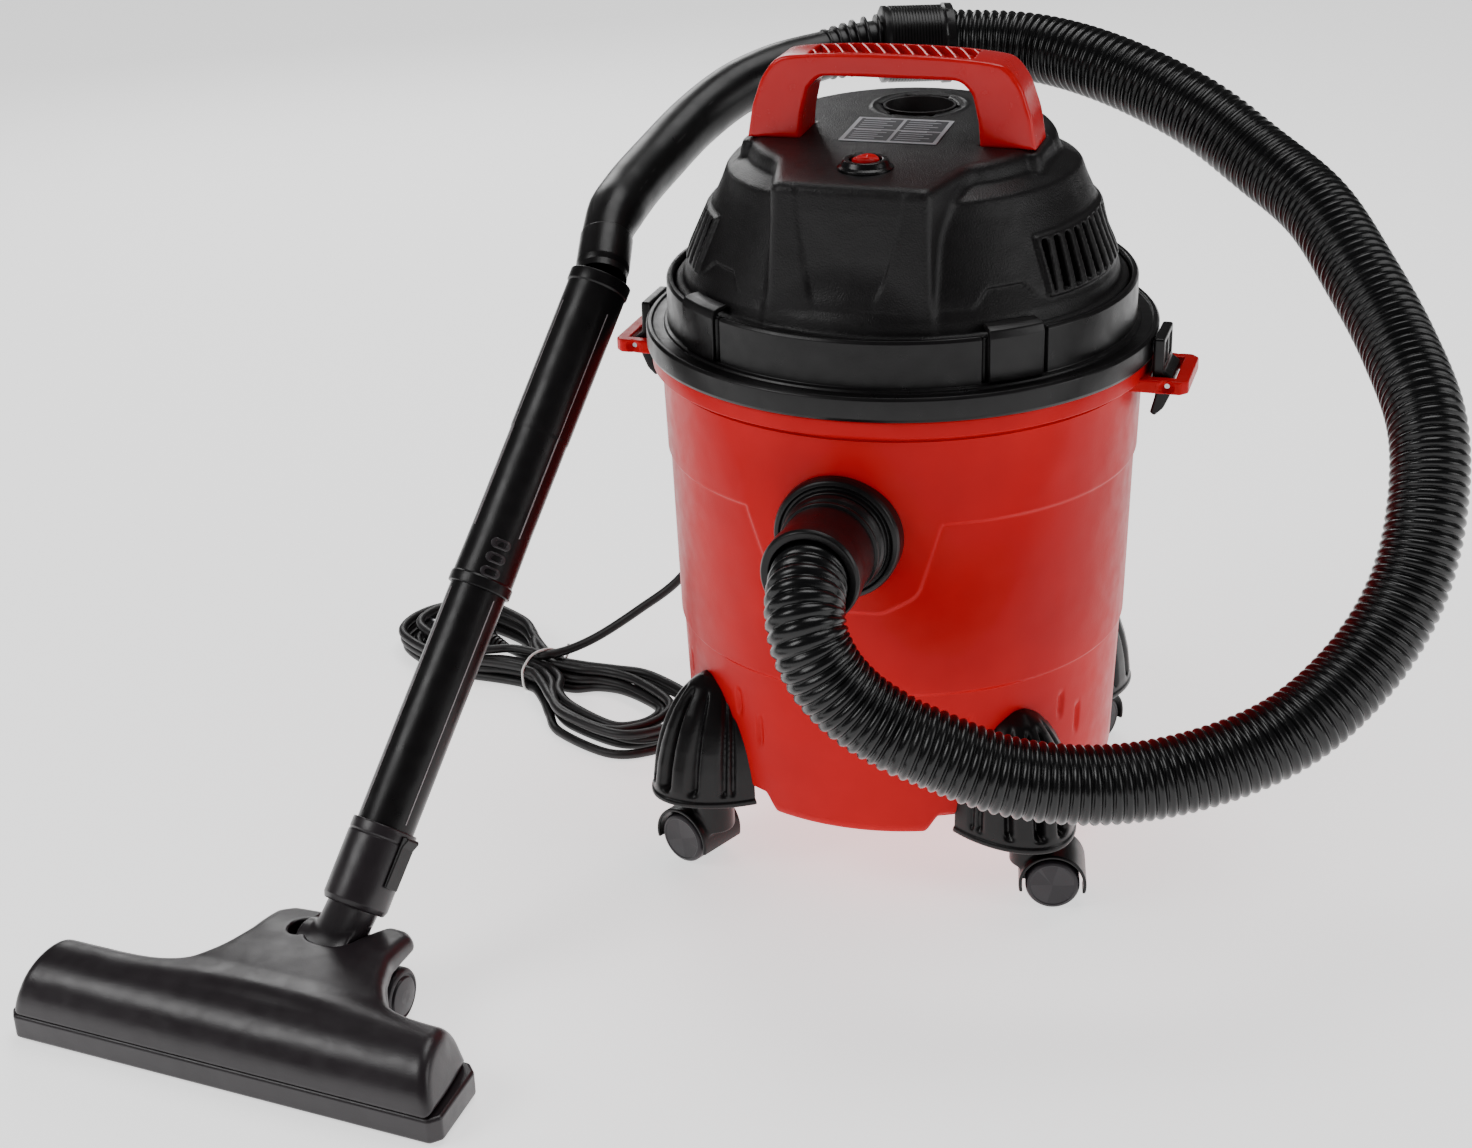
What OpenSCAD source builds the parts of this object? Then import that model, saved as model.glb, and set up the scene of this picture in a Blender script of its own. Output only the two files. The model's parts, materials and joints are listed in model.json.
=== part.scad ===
/* [Drum] */
// Outer radius of the drum wall just under its rim
drum_radius = 141.5; // [138:0.5:142]
// Height of the open rim of the drum above the floor
rim_height = 313.7; // [313.7:0.1:313.9]
// Wall thickness of the moulded drum
drum_wall = 2.5; // [2:0.5:3]
// Bore of the suction inlet in the drum wall
inlet_bore = 46; // [40:1:48]

/* [Head] */
// Outer radius of the lid flange that closes the drum
flange_radius = 150; // [149:0.2:150.2]
// Bore of the blower port on the deck
blower_bore = 40; // [36:1:42]
// Number of cooling slots in each side band
slot_count = 12; // [8:1:14]
// Height of the top of the carrying handle above the floor
handle_top = 485; // [480:1:490]

/* [Running gear] */
// Turn of the caster stems from the centre line of their pods, in degrees
caster_turn = 3; // [-3:1:3]
// Radius of the caster wheels
caster_wheel_radius = 16; // [15.5:0.1:16]
// Distance of every caster stem from the drum axis
caster_circle = 138; // [137:0.5:141]

/* [Hose and wand] */
// Outer diameter over the ribs of the suction hose
hose_diameter = 43; // [41:0.5:43]
// Outer diameter of the bent grip tube
tube_diameter = 30; // [29:0.5:30]
// Diameter of the mains lead
lead_diameter = 6.4; // [6:0.1:6.4]

/* [Floor nozzle] */
// Length of the floor nozzle
nozzle_length = 272; // [260:1:276]
// Depth of the nozzle base
nozzle_depth = 52; // [50:1:56]

/* [Hidden] */
$fn = 96;

red = [0.82, 0.08, 0.10];
black = [0.11, 0.11, 0.12];
grey = [0.35, 0.35, 0.37];
steel = [0.70, 0.70, 0.72];
white = [0.93, 0.93, 0.92];
blue = [0.20, 0.28, 0.42];
copper = [0.72, 0.42, 0.22];

floor_z = 59;
skirt_z = 51;
flange_z = 314;
flange_thick = 14;
collar_radius = 137;
collar_top = 355;
deck_z = 437.5;
deck_slope = 2.86;
split_z = 418;
fit = 0.05;
eps = 0.5;

inlet_z = 243;
inlet_face = 150;
socket_end = [0, -198.5, 243];
hose_route = [[0, -188, 243], [0.2, -199, 242], [1.2, -209, 238.6], [3.2, -217.5, 232.5], [6.2, -223.5, 224],
    [10.5, -226.3, 213.5], [19, -226.5, 199], [32, -224.5, 184.5], [48, -222, 173], [67, -220, 164],
    [113, -212, 147],
    [161, -197, 141], [209, -175, 146], [251, -149, 161], [282, -116, 186], [301, -87, 219],
    [307, -60, 257], [302, -27, 294], [281, 23, 322], [255, 64, 349], [226, 105, 374],
    [188, 138, 393], [145, 160, 416], [89, 184, 434], [34, 207, 441], [-23, 207, 442]];
cuff_start = [-23, 207, 442];
cuff_end = [-62, 190, 443];
tube_route = [[-66, 188.3, 443.1], [-80, 181, 441], [-98, 168, 438], [-120, 147, 433], [-140, 122, 425],
    [-156, 90, 412], [-166, 50, 398], [-171, 10, 387], [-171, -25, 376], [-165, -58, 354]];
wand_top = [-165, -58, 354];
wand_foot = [-237, -298, 60];
lead_route = [[-51.6, 146.6, 340], [-56.6, 160.8, 338], [-66, 178, 310], [-78, 183, 270], [-100, 176, 228],
    [-126, 162, 184], [-150, 149, 142], [-172, 138, 106], [-194.7, 129, 74], [-220, 117.5, 54],
    [-247, 105.5, 35.6], [-268, 96, 26], [-285, 88, 23.2]];
tie_at = [-285, 88];
hank_turn = -28;
hank_height = 19.5;

nozzle_at = [-275, -398, 0];
nozzle_yaw = -5;
hump_shift = 19;
pivot_back = 92;
pivot_z = 36;

pivot_world = [nozzle_at[0] + hump_shift * cos(nozzle_yaw) - pivot_back * sin(nozzle_yaw),
    nozzle_at[1] + hump_shift * sin(nozzle_yaw) + pivot_back * cos(nozzle_yaw), pivot_z];

function unit(v) = v / norm(v);
function spline(a, b, c, d, t) = 0.5 * (2 * b + (c - a) * t
    + (2 * a - 5 * b + 4 * c - d) * t * t + (3 * b - a - 3 * c + d) * t * t * t);
function at(route, i) = route[max(0, min(len(route) - 1, i))];
function smooth(route, steps) = concat([for (i = [0:len(route) - 2]) for (k = [0:steps - 1])
    spline(at(route, i - 1), at(route, i), at(route, i + 1), at(route, i + 2), k / steps)],
    [route[len(route) - 1]]);
function heading(p, i) = unit(at(p, i + 1) - at(p, i - 1));
function sides(p, i, u) = i >= len(p) ? [] : let (t = heading(p, i), v = unit(u - (u * t) * t))
    concat([v], sides(p, i + 1, v));
function ring(p, u, i, r, n) = let (t = heading(p, i), v = u[i], w = cross(t, v))
    [for (k = [0:n - 1]) p[i] + r * cos(360 * k / n) * v + r * sin(360 * k / n) * w];
function rings(p, u, r, n) = [for (i = [0:len(p) - 1]) each ring(p, u, i, r, n)];

module swept(route, steps, r, n) {
    p = smooth(route, steps);
    m = len(p);
    u = sides(p, 0, [0.1, 0.9, 0.3]);
    faces = concat([[for (k = [0:n - 1]) k]],
        [for (i = [0:m - 2]) for (k = [0:n - 1])
            [i * n + k, (i + 1) * n + k, (i + 1) * n + (k + 1) % n, i * n + (k + 1) % n]],
        [[for (k = [n - 1:-1:0]) (m - 1) * n + k]]);
    polyhedron(points = rings(p, u, r, n), faces = faces);
}

module swept_pipe(route, steps, r, bore, n) {
    p = smooth(route, steps);
    m = len(p);
    o = m * n;
    e = (m - 1) * n;
    u = sides(p, 0, [0.1, 0.9, 0.3]);
    faces = concat(
        [for (i = [0:m - 2]) for (k = [0:n - 1])
            [i * n + k, (i + 1) * n + k, (i + 1) * n + (k + 1) % n, i * n + (k + 1) % n]],
        [for (i = [0:m - 2]) for (k = [0:n - 1])
            [o + i * n + k, o + i * n + (k + 1) % n, o + (i + 1) * n + (k + 1) % n, o + (i + 1) * n + k]],
        [for (k = [0:n - 1]) [k, (k + 1) % n, o + (k + 1) % n, o + k]],
        [for (k = [0:n - 1]) [e + k, o + e + k, o + e + (k + 1) % n, e + (k + 1) % n]]);
    polyhedron(points = concat(rings(p, u, r, n), rings(p, u, bore, n)), faces = faces);
}

module rod(a, b, r, r2 = 0) {
    d = b - a;
    translate(a)
        rotate([0, acos(d[2] / norm(d)), atan2(d[1], d[0])])
            cylinder(h = norm(d), r1 = r, r2 = (r2 == 0 ? r : r2));
}

module washer(r, bore, z1, z2) {
    translate([0, 0, z1])
        difference() {
            cylinder(h = z2 - z1, r = r);
            translate([0, 0, -eps])
                cylinder(h = z2 - z1 + 2 * eps, r = bore);
        }
}

module drum_shape() {
    rotate_extrude()
        polygon([[0, floor_z], [drum_radius - 14.5, floor_z], [drum_radius - 14.5, skirt_z],
            [drum_radius - 10.5, skirt_z], [drum_radius - 7, 143], [drum_radius - 5.5, 145],
            [drum_radius - 3, 250], [drum_radius - 1.5, 252], [drum_radius, 304],
            [147, 304], [147, rim_height], [0, rim_height]]);
}

module drum_hollow() {
    w = drum_wall;
    rotate_extrude()
        polygon([[0, floor_z + w], [drum_radius - 10.2 - w, floor_z + w],
            [drum_radius - 7 - w, 143], [drum_radius - 5.5 - w, 145], [drum_radius - 3 - w, 250],
            [drum_radius - 1.5 - w, 252], [drum_radius - w, 303], [drum_radius - w, rim_height + 1],
            [0, rim_height + 1]]);
}

module apron() {
    intersection() {
        washer(drum_radius - 1.5, drum_radius - 6.5, 195, 252);
        translate([0, -100, 0])
            rotate([90, 0, 0])
                linear_extrude(60)
                    polygon([[-58, 252], [-46, 222], [-24, 197], [-10, 195], [10, 195], [24, 197],
                        [43, 208], [54, 252]]);
    }
}

module ear(side) {
    difference() {
        translate([side > 0 ? 136 : -172, -25.5, 298])
            cube([36, 51, 8]);
        for (s = [-1, 1])
            translate([side * 172, s * 25.5, 297])
                rotate([0, 0, 45])
                    cube([8, 8, 20], center = true);
        translate([side > 0 ? 149.8 : -164, -18.5, 290])
            cube([14.2, 37, 20]);
        translate([side * 160, -22.5, 302])
            rotate([-90, 0, 0])
                cylinder(h = 45, r = 1.5 + fit, $fn = 32);
    }
}

module drum() {
    color(red) difference() {
        union() {
            drum_shape();
            apron();
            ear(1);
            ear(-1);
        }
        drum_hollow();
        washer(144.8, 141.2, 311.5, 320);
        translate([0, -100, inlet_z])
            rotate([90, 0, 0])
                cylinder(h = 60, r = inlet_bore / 2 + 4.3);
        for (a = [45:90:315])
            rotate([0, 0, a])
                translate([112, -34, 40])
                    cube([30, 68, 18.9]);
    }
}

module inlet_socket() {
    color(black) difference() {
        union() {
            translate([0, -120, inlet_z])
                rotate([90, 0, 0])
                    cylinder(h = inlet_face - 120, r = inlet_bore / 2 + 4);
            translate([0, -134, inlet_z])
                rotate([90, 0, 0])
                    cylinder(h = inlet_face - 134, r = 36);
        }
        translate([0, -110, inlet_z])
            rotate([90, 0, 0])
                cylinder(h = 50, r = inlet_bore / 2);
        intersection() {
            translate([0, 0, 190])
                cylinder(h = 110, r = drum_radius + 0.05);
            difference() {
                translate([-50, -160, 190])
                    cube([100, 80, 110]);
                translate([0, -110, inlet_z])
                    rotate([90, 0, 0])
                        cylinder(h = 50, r = inlet_bore / 2 + 4);
            }
        }
    }
}

module pod(a) {
    color(black) difference() {
        rotate([0, 0, a])
            difference() {
                hull() {
                    translate([148, 0, 48])
                        cylinder(h = 8, r = 21, $fn = 32);
                    for (s = [-1, 1])
                        translate([112, s * 34, 48])
                            cylinder(h = 8, r = 4, $fn = 16);
                    translate([146, 0, 78])
                        cylinder(h = 1, r = 18, $fn = 32);
                    translate([142, 0, 104])
                        cylinder(h = 1, r = 10, $fn = 32);
                    translate([137, 0, 123])
                        cylinder(h = 1, r = 4, $fn = 32);
                }
                rotate([0, 0, caster_turn])
                    translate([caster_circle, 0, 40])
                        cylinder(h = 30, r = 4 + fit, $fn = 32);
                for (s = [-14, -5, 5, 14])
                    translate([172 - abs(s) * 0.5, s, 46])
                        rotate([0, -17, 0])
                            cylinder(h = 62, r = 3, $fn = 16);
            }
        drum_shape();
    }
}

module caster_frame(a, yaw) {
    translate([caster_circle * cos(a + caster_turn), caster_circle * sin(a + caster_turn), 0])
        rotate([0, 0, yaw])
            children();
}

module caster_stem(a, yaw) {
    color(steel) caster_frame(a, yaw) {
        translate([0, 0, 36])
            cylinder(h = 32, r = 4, $fn = 32);
        translate([0, 0, 46.5])
            cylinder(h = 1, r = 8, $fn = 32);
    }
}

module caster_hood(a, yaw) {
    r = caster_wheel_radius;
    color(black) caster_frame(a, yaw) {
        difference() {
            union() {
                translate([13, 17, r])
                    rotate([90, 0, 0])
                        cylinder(h = 34, r = 20);
                translate([0, 0, 26])
                    cylinder(h = 20.5, r = 13, $fn = 48);
            }
            for (s = [-1, 1])
                translate([13, s * 11.25 + 8.75, r])
                    rotate([90, 0, 0])
                        cylinder(h = 17.5, r = 18);
            translate([-20, -30, -10])
                cube([70, 60, 21]);
            translate([13, 20, r])
                rotate([90, 0, 0])
                    cylinder(h = 40, r = 2.5 + fit, $fn = 32);
            translate([0, 0, 36])
                cylinder(h = 20, r = 4, $fn = 32);
        }
    }
}

module caster_wheels(a, yaw) {
    r = caster_wheel_radius;
    color(grey) caster_frame(a, yaw) {
        for (s = [-1, 1])
            translate([13, s * 10.5 + 6, r])
                rotate([90, 0, 0])
                    cylinder(h = 12, r = r);
        translate([13, 17, r])
            rotate([90, 0, 0])
                cylinder(h = 34, r = 2.5, $fn = 32);
    }
}

module latch(side) {
    color(black) mirror([side > 0 ? 0 : 1, 0, 0])
        difference() {
            union() {
                translate([0, 17, 0])
                    rotate([90, 0, 0])
                        linear_extrude(34)
                            polygon([[150.6, 327.8], [150.6, 303], [152, 297], [162.5, 299],
                                [162.5, 305], [157, 308], [157, 327.8]]);
                translate([0, 11, 0])
                    rotate([90, 0, 0])
                        linear_extrude(22)
                            polygon([[153, 299], [151.5, 290], [149, 281], [152, 279], [157, 284],
                                [160.5, 292], [161, 300]]);
            }
            translate([160, -20, 302])
                rotate([-90, 0, 0])
                    cylinder(h = 40, r = 1.5 + fit, $fn = 32);
        }
}

module latch_pin(side) {
    color(steel) translate([side * 160, -22, 302])
        rotate([-90, 0, 0])
            cylinder(h = 44, r = 1.5, $fn = 32);
}

module lid_ring() {
    color(black) difference() {
        union() {
            rotate_extrude()
                polygon([[122, flange_z], [135, flange_z], [135, 303], [138, 303], [138, flange_z],
                    [flange_radius, flange_z], [flange_radius, flange_z + flange_thick],
                    [collar_radius, flange_z + flange_thick], [collar_radius, collar_top],
                    [134, collar_top], [134, 318], [122, 318]]);
            for (a = [-49, -131, 49, 131])
                rotate([0, 0, a - 7])
                    rotate_extrude(angle = 14)
                        polygon([[135, 320], [139, 320], [139, 361], [135, 361]]);
            rotate([0, 0, 109.4])
                translate([130, 0, 340])
                    rotate([0, 90, 0])
                        cylinder(h = 9, r = 9, $fn = 48);
        }
        rotate([0, 0, 109.4])
            translate([120, 0, 340])
                rotate([0, 90, 0])
                    cylinder(h = 30, r = 5.5, $fn = 32);
    }
}

module rim_seal() {
    color(grey) washer(144.6, 141.4, 311.5, 313.95);
}

module dome_profile(t) {
    polygon([[0, 320], [127 - t, 320], [125 - t, 356], [122 - t, 376], [119 - t, 386],
        [104 - t, 400], [99 - t, 418], [86 - t, 424], [79 - t, 446 - t], [0, 446 - t]]);
}

module prow(t) {
    difference() {
        translate([44 - t, 0, 0])
            rotate([90, 0, -90])
                linear_extrude(88 - 2 * t)
                    polygon([[40, 330], [119 - t, 330], [118 - t, 357], [106 - t, 422 - t], [80, 440 - t],
                        [40, 440 - t]]);
        translate([0, -116 - t, 384])
            rotate([-10.5, 0, 0])
                linear_extrude(60, center = true)
                    polygon([[-16, 0], [16, 0], [14, 4], [-14, 4]]);
    }
}

module deck_cut(z) {
    translate([0, 0, z])
        rotate([deck_slope, 0, 0])
            translate([-160, -160, 0])
                cube([320, 320, 40]);
}

module head_shell() {
    difference() {
        union() {
            difference() {
                union() {
                    rotate_extrude()
                        dome_profile(0);
                    prow(0);
                }
                deck_cut(deck_z);
            }
            for (s = [-1, 1])
                translate([s * 65, -12, 400])
                    cylinder(h = 34, r = 21, $fn = 48);
        }
        difference() {
            union() {
                rotate_extrude()
                    dome_profile(3);
                prow(3);
            }
            deck_cut(deck_z - 3);
            for (a = [45:90:315])
                rotate([0, 0, a])
                    translate([112, 0, 320.5])
                        cylinder(h = 64, r = 7, $fn = 32);
        }
    }
}

module head_cover() {
    color(black) difference() {
        head_shell();
        translate([-150, -150, split_z])
            cube([300, 300, 60]);
        for (a = [45:90:315])
            rotate([0, 0, a])
                translate([112, 0, 310])
                    cylinder(h = 35, r = 2.05, $fn = 24);
        for (s = [-1, 1])
            for (i = [0:slot_count - 1])
                rotate([0, 0, s * 90 - 90 + (i - (slot_count - 1) / 2) * 6.2])
                    translate([117, 0, 380])
                        rotate([18, 0, 0])
                            cube([22, 3.4, 13], center = true);
    }
}

module head_deck() {
    color(black) difference() {
        head_shell();
        translate([-150, -150, 300])
            cube([300, 300, split_z - 300]);
        translate([0, 45, 400])
            cylinder(h = 60, r = blower_bore / 2 + 1.5);
        translate([0, -78, 400])
            cylinder(h = 60, r = 10.1, $fn = 64);
        translate([0, -78, 433.3])
            cylinder(h = 10, r = 15.1, $fn = 64);
        for (s = [-1, 1])
            translate([s * 67.5 - 15.8, -28.3, 434.1])
                cube([31.6, 32.6, 20]);
        for (s = [-1, 1])
            for (y = [-22, -2])
                translate([s * 65, y, 395])
                    cylinder(h = 60, r = 2.05, $fn = 24);
    }
}

module handle() {
    z = handle_top;
    color(red) difference() {
        translate([0, 4, 0])
            rotate([90, 0, 0])
                linear_extrude(32)
                    polygon([[-83, 434.2], [-81, 450], [-76, z - 16], [-70, z - 8], [-60, z - 2], [-48, z],
                        [48, z], [60, z - 2], [70, z - 8], [76, z - 16], [81, 450], [83, 434.2],
                        [52, 434.2], [50, 452], [46, z - 20], [42, z - 16.5], [36, z - 15],
                        [-36, z - 15], [-42, z - 16.5], [-46, z - 20], [-50, 452], [-52, 434.2]]);
        for (i = [-5.5:1:5.5])
            translate([i * 8, -12, z])
                rotate([0, 0, 25])
                    cube([3.6, 18, 6], center = true);
        for (s = [-1, 1])
            for (y = [-22, -2])
                translate([s * 65, y, 430])
                    cylinder(h = 16, r = 2.05, $fn = 24);
    }
}

module head_screws() {
    color(steel) {
        for (a = [45:90:315])
            rotate([0, 0, a])
                translate([112, 0, 311.5]) {
                    cylinder(h = 30, r = 2, $fn = 24);
                    cylinder(h = 2.5, r = 4.2, $fn = 24);
                }
        for (s = [-1, 1])
            for (y = [-22, -2])
                translate([s * 65, y, 394]) {
                    cylinder(h = 50, r = 2, $fn = 24);
                    cylinder(h = 6, r = 4, $fn = 24);
                }
    }
}

module rating_label() {
    color(steel) translate([0, -9, deck_z - 9 * tan(deck_slope) + 0.28])
        rotate([deck_slope, 0, 0])
            cube([56, 46, 0.5], center = true);
}

module switch_body() {
    z = 433.4;
    color(black) difference() {
        union() {
            translate([0, -78, z])
                cylinder(h = 5, r1 = 15, r2 = 12.5, $fn = 64);
            translate([0, -78, 405])
                cylinder(h = 30, r = 10, $fn = 64);
            for (s = [-1, 1])
                translate([s * 5, -78, 398])
                    cube([1, 6, 16], center = true);
        }
        translate([0, -78, 424])
            cylinder(h = 20, r = 8.9, $fn = 64);
        translate([-9.6, -78, z + 0.6])
            rotate([0, 90, 0])
                cylinder(h = 19.2, r = 1 + fit, $fn = 24);
    }
}

module rocker() {
    color(red) translate([0, -78, 434])
        rotate([-7, 0, 0])
            rotate([0, 90, 0]) {
                translate([0, 0, -5])
                    linear_extrude(10)
                        polygon([[6, -5.6], [6, 5.6], [-5.2, 6.4], [-3.8, 0], [-5.2, -6.4]]);
                translate([0, 0, -9.3])
                    cylinder(h = 18.6, r = 1, $fn = 24);
            }
}

module motor_can() {
    color(steel) difference() {
        translate([0, 0, 352])
            cylinder(h = 66, r = 44);
        translate([0, 0, 351])
            cylinder(h = 64, r = 42);
        translate([0, 0, 350])
            cylinder(h = 80, r = 11.05);
        for (a = [0:45:315])
            rotate([0, 0, a])
                translate([30, 0, 416])
                    cylinder(h = 10, r = 6, $fn = 24);
    }
}

module stator() {
    color(copper) difference() {
        translate([0, 0, 360])
            cylinder(h = 42, r = 41.9);
        translate([0, 0, 359])
            cylinder(h = 44, r = 24);
        for (a = [0:30:330])
            rotate([0, 0, a])
                translate([29, 0, 359])
                    cylinder(h = 44, r = 3.4, $fn = 16);
    }
}

module armature() {
    color(grey) {
        washer(23, 4, 362, 398);
        washer(12, 4, 399, 410);
    }
}

module motor_shaft() {
    color(steel) translate([0, 0, 322])
        cylinder(h = 106, r = 4, $fn = 48);
}

module motor_bearings() {
    color(steel) {
        washer(11, 4 + fit, 412, 420);
        washer(11, 4 + fit, 353, 359);
    }
}

module impeller() {
    color(steel) difference() {
        union() {
            translate([0, 0, 326])
                cylinder(h = 2, r = 55);
            translate([0, 0, 326])
                cylinder(h = 18, r = 9, $fn = 48);
            washer(55, 22, 341, 342.5);
            for (a = [0:40:320])
                rotate([0, 0, a])
                    translate([7, 0, 327])
                        rotate([0, 0, 28])
                            cube([44, 1.6, 14.6]);
        }
        translate([0, 0, 320])
            cylinder(h = 30, r = 4, $fn = 48);
    }
}

module fan_case() {
    color(grey) difference() {
        translate([0, 0, 319])
            cylinder(h = 33, r = 66);
        translate([0, 0, 322])
            cylinder(h = 26, r = 62);
        translate([0, 0, 318])
            cylinder(h = 10, r = 18);
        translate([0, 0, 346])
            cylinder(h = 10, r = 11.05);
        for (a = [0:30:330])
            rotate([0, 0, a])
                translate([60, 0, 334])
                    rotate([0, 90, 0])
                        cylinder(h = 10, r = 5, $fn = 24);
    }
    color(grey) difference() {
        washer(14, 11, 352, 359);
        translate([0, 0, 351])
            cylinder(h = 1, r = 10);
    }
}

module motor_plate() {
    color(black) difference() {
        union() {
            translate([0, 0, 315])
                cylinder(h = 4, r = 121.5);
            washer(45, 41.6, 306, 316);
        }
        translate([0, 0, 300])
            cylinder(h = 30, r = 18);
        for (a = [45:90:315])
            rotate([0, 0, a])
                translate([112, 0, 300])
                    cylinder(h = 30, r = 2.05, $fn = 24);
        for (a = [45:90:315])
            rotate([0, 0, a])
                translate([112, 0, 300])
                    cylinder(h = 15.2, r = 4.4, $fn = 24);
    }
}

module float_cage() {
    color(black) difference() {
        translate([0, 0, 200])
            cylinder(h = 114.8, r = 40);
        translate([0, 0, 203])
            cylinder(h = 120, r = 37);
        for (a = [0:45:315])
            for (z = [212, 262])
                rotate([0, 0, a])
                    translate([30, -9, z])
                        cube([20, 18, 40]);
    }
    color(black) difference() {
        translate([0, 0, 201])
            cylinder(h = 100, r = 4, $fn = 32);
    }
}

module float_cup() {
    color(white) difference() {
        translate([0, 0, 204])
            cylinder(h = 62, r = 34);
        translate([0, 0, 203])
            cylinder(h = 58, r = 31.5);
        translate([0, 0, 200])
            cylinder(h = 80, r = 4 + 0.1, $fn = 32);
    }
}

module foam_filter() {
    color(blue) difference() {
        translate([0, 0, 192])
            cylinder(h = 122, r = 52);
        translate([0, 0, 200])
            cylinder(h = 120, r = 45.3);
    }
}

module filter_clamp() {
    color(steel) {
        washer(53.4, 52.1, 300, 307);
        translate([52.5, -5, 299])
            cube([5, 10, 9]);
    }
}

module exhaust_duct() {
    color(black) difference() {
        translate([0, 45, 424])
            cylinder(h = 16, r = blower_bore / 2 + 1.4);
        translate([0, 45, 420])
            cylinder(h = 40, r = blower_bore / 2);
    }
    color(black) difference() {
        translate([-24, 21, 421])
            cube([48, 48, 3]);
        translate([0, 45, 415])
            cylinder(h = 20, r = blower_bore / 2);
    }
}

module inlet_elbow() {
    d = unit(hose_route[1] - hose_route[0]);
    color(black) difference() {
        union() {
            rod([0, -inlet_face, inlet_z], socket_end, 26.4);
            rod(socket_end + [0, 12, 0], socket_end, 27.6);
        }
        rod([0, -140, inlet_z], hose_route[0] + d, 19.4);
        rod(hose_route[0] - 0.4 * d, hose_route[0] + 20 * d, hose_diameter / 2 + 0.2);
    }
}

module hose() {
    color(black) swept_pipe(hose_route, 3, hose_diameter / 2, hose_diameter / 2 - 2, 12);
}

module hose_cuff() {
    d = unit(cuff_end - cuff_start);
    color(black) difference() {
        union() {
            rod(cuff_start - 3 * d, cuff_start + 3 * d, 25.4);
            rod(cuff_start, cuff_end, 24.3);
        }
        rod(cuff_start - 10 * d, cuff_start + 8 * d, hose_diameter / 2 + 0.2);
        rod(cuff_start, cuff_end + 10 * d, tube_diameter / 2 + fit);
    }
}

module bent_tube() {
    d = unit(cuff_end - cuff_start);
    r = tube_diameter / 2;
    color(black) {
        difference() {
            union() {
                rod(cuff_end - 30 * d, cuff_end + 5 * d, r);
                rod(cuff_end + 1 * d, cuff_end + 3 * d, r + 4);
            }
            rod(cuff_end - 40 * d, cuff_end + 20 * d, r - 2.5);
        }
        swept_pipe(tube_route, 3, r, r - 2.5, 12);
    }
}

wand_axis = unit(wand_top - wand_foot);
wand_mid = wand_foot + 190 * wand_axis;

module wand_upper() {
    color(black) difference() {
        union() {
            rod(wand_mid, wand_top, 17.8);
            rod(wand_mid, wand_mid + 6 * wand_axis, 18.4);
        }
        rod(wand_mid - 20 * wand_axis, wand_top + 20 * wand_axis, 15.1);
        rod(wand_mid - 20 * wand_axis, wand_mid + 30 * wand_axis, 16.6);
        rod(wand_top - 8 * wand_axis, wand_top + 20 * wand_axis, 16);
    }
}

module wand_lower() {
    color(black) difference() {
        rod(wand_foot + 6 * wand_axis, wand_mid + 29 * wand_axis, 16.5);
        rod(wand_foot - 20 * wand_axis, wand_mid + 50 * wand_axis, 14);
    }
}

module nozzle_frame() {
    translate(nozzle_at)
        rotate([0, 0, nozzle_yaw])
            children();
}

module nozzle_neck() {
    a = wand_foot;
    w = wand_axis;
    color(black) difference() {
        union() {
            rod(a, a + 48 * w, 18.7);
            rod(pivot_world, a + 4 * w, 14.5);
            nozzle_frame()
                translate([hump_shift - 16.5, pivot_back, pivot_z])
                    rotate([0, 90, 0])
                        cylinder(h = 33, r = 16);
            nozzle_frame()
                translate([hump_shift - 22, pivot_back, pivot_z])
                    rotate([0, 90, 0])
                        cylinder(h = 44, r = 5, $fn = 32);
        }
        rod(a + 6 * w, a + 80 * w, 16.6);
        rod(pivot_world + [0, 0, 0], a + 10 * w, 11.5);
        nozzle_frame()
            translate([hump_shift - 13, pivot_back - 24, pivot_z - 11])
                cube([26, 24, 22]);
    }
}

module neck_clip() {
    color(black) translate(wand_foot + 20 * wand_axis)
        rotate([0, acos(wand_axis[2]), atan2(wand_axis[1], wand_axis[0])])
            rotate([0, 0, -90])
                translate([18.75, -5, -4])
                    cube([4, 10, 30]);
}

module nozzle_shell_profile(t) {
    polygon([[3 + t, 14], [5 + t, 24], [10 + t, 34 - t], [17, 42 - t], [26, 46.5 - t], [35, 47 - t],
        [43 - t, 42 - t], [48 - t, 32 - t], [50 - t, 14]]);
}

module nozzle_shell() {
    l = nozzle_length - 18;
    s = hump_shift;
    color(black) nozzle_frame()
        difference() {
            union() {
                translate([l / 2, 0, 0])
                    rotate([90, 0, -90])
                        mirror([1, 0, 0])
                            linear_extrude(l)
                                nozzle_shell_profile(0);
                translate([0, 0, 16])
                    linear_extrude(34)
                        polygon([[s - 66, 40], [s - 52, 58], [s - 44, 80], [s - 43, 112], [s - 38, 116],
                            [s + 38, 116], [s + 43, 112], [s + 44, 80], [s + 52, 58], [s + 66, 40]]);
            }
            difference() {
                translate([l / 2 - 3, 0, 0])
                    rotate([90, 0, -90])
                        mirror([1, 0, 0])
                            linear_extrude(l - 6)
                                nozzle_shell_profile(3);
                translate([s + 30, 44, 10])
                    cube([40, 20, 50]);
                translate([s - 70, 44, 10])
                    cube([40, 20, 50]);
            }
            translate([s - 17, 44, 0])
                cube([34, 80, 60]);
            translate([s, 62, 36.5])
                cube([24, 60, 30]);
            for (k = [-1, 1])
                translate([s + k * 36 - 11, pivot_back, caster_wheel_radius])
                    rotate([0, 90, 0])
                        cylinder(h = 22, r = 18.5);
            translate([s - 40, pivot_back, caster_wheel_radius])
                rotate([0, 90, 0])
                    cylinder(h = 80, r = 2.5 + fit, $fn = 32);
            translate([s - 22.5, pivot_back, pivot_z])
                rotate([0, 90, 0])
                    cylinder(h = 45, r = 5 + fit, $fn = 32);
        }
}

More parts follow.
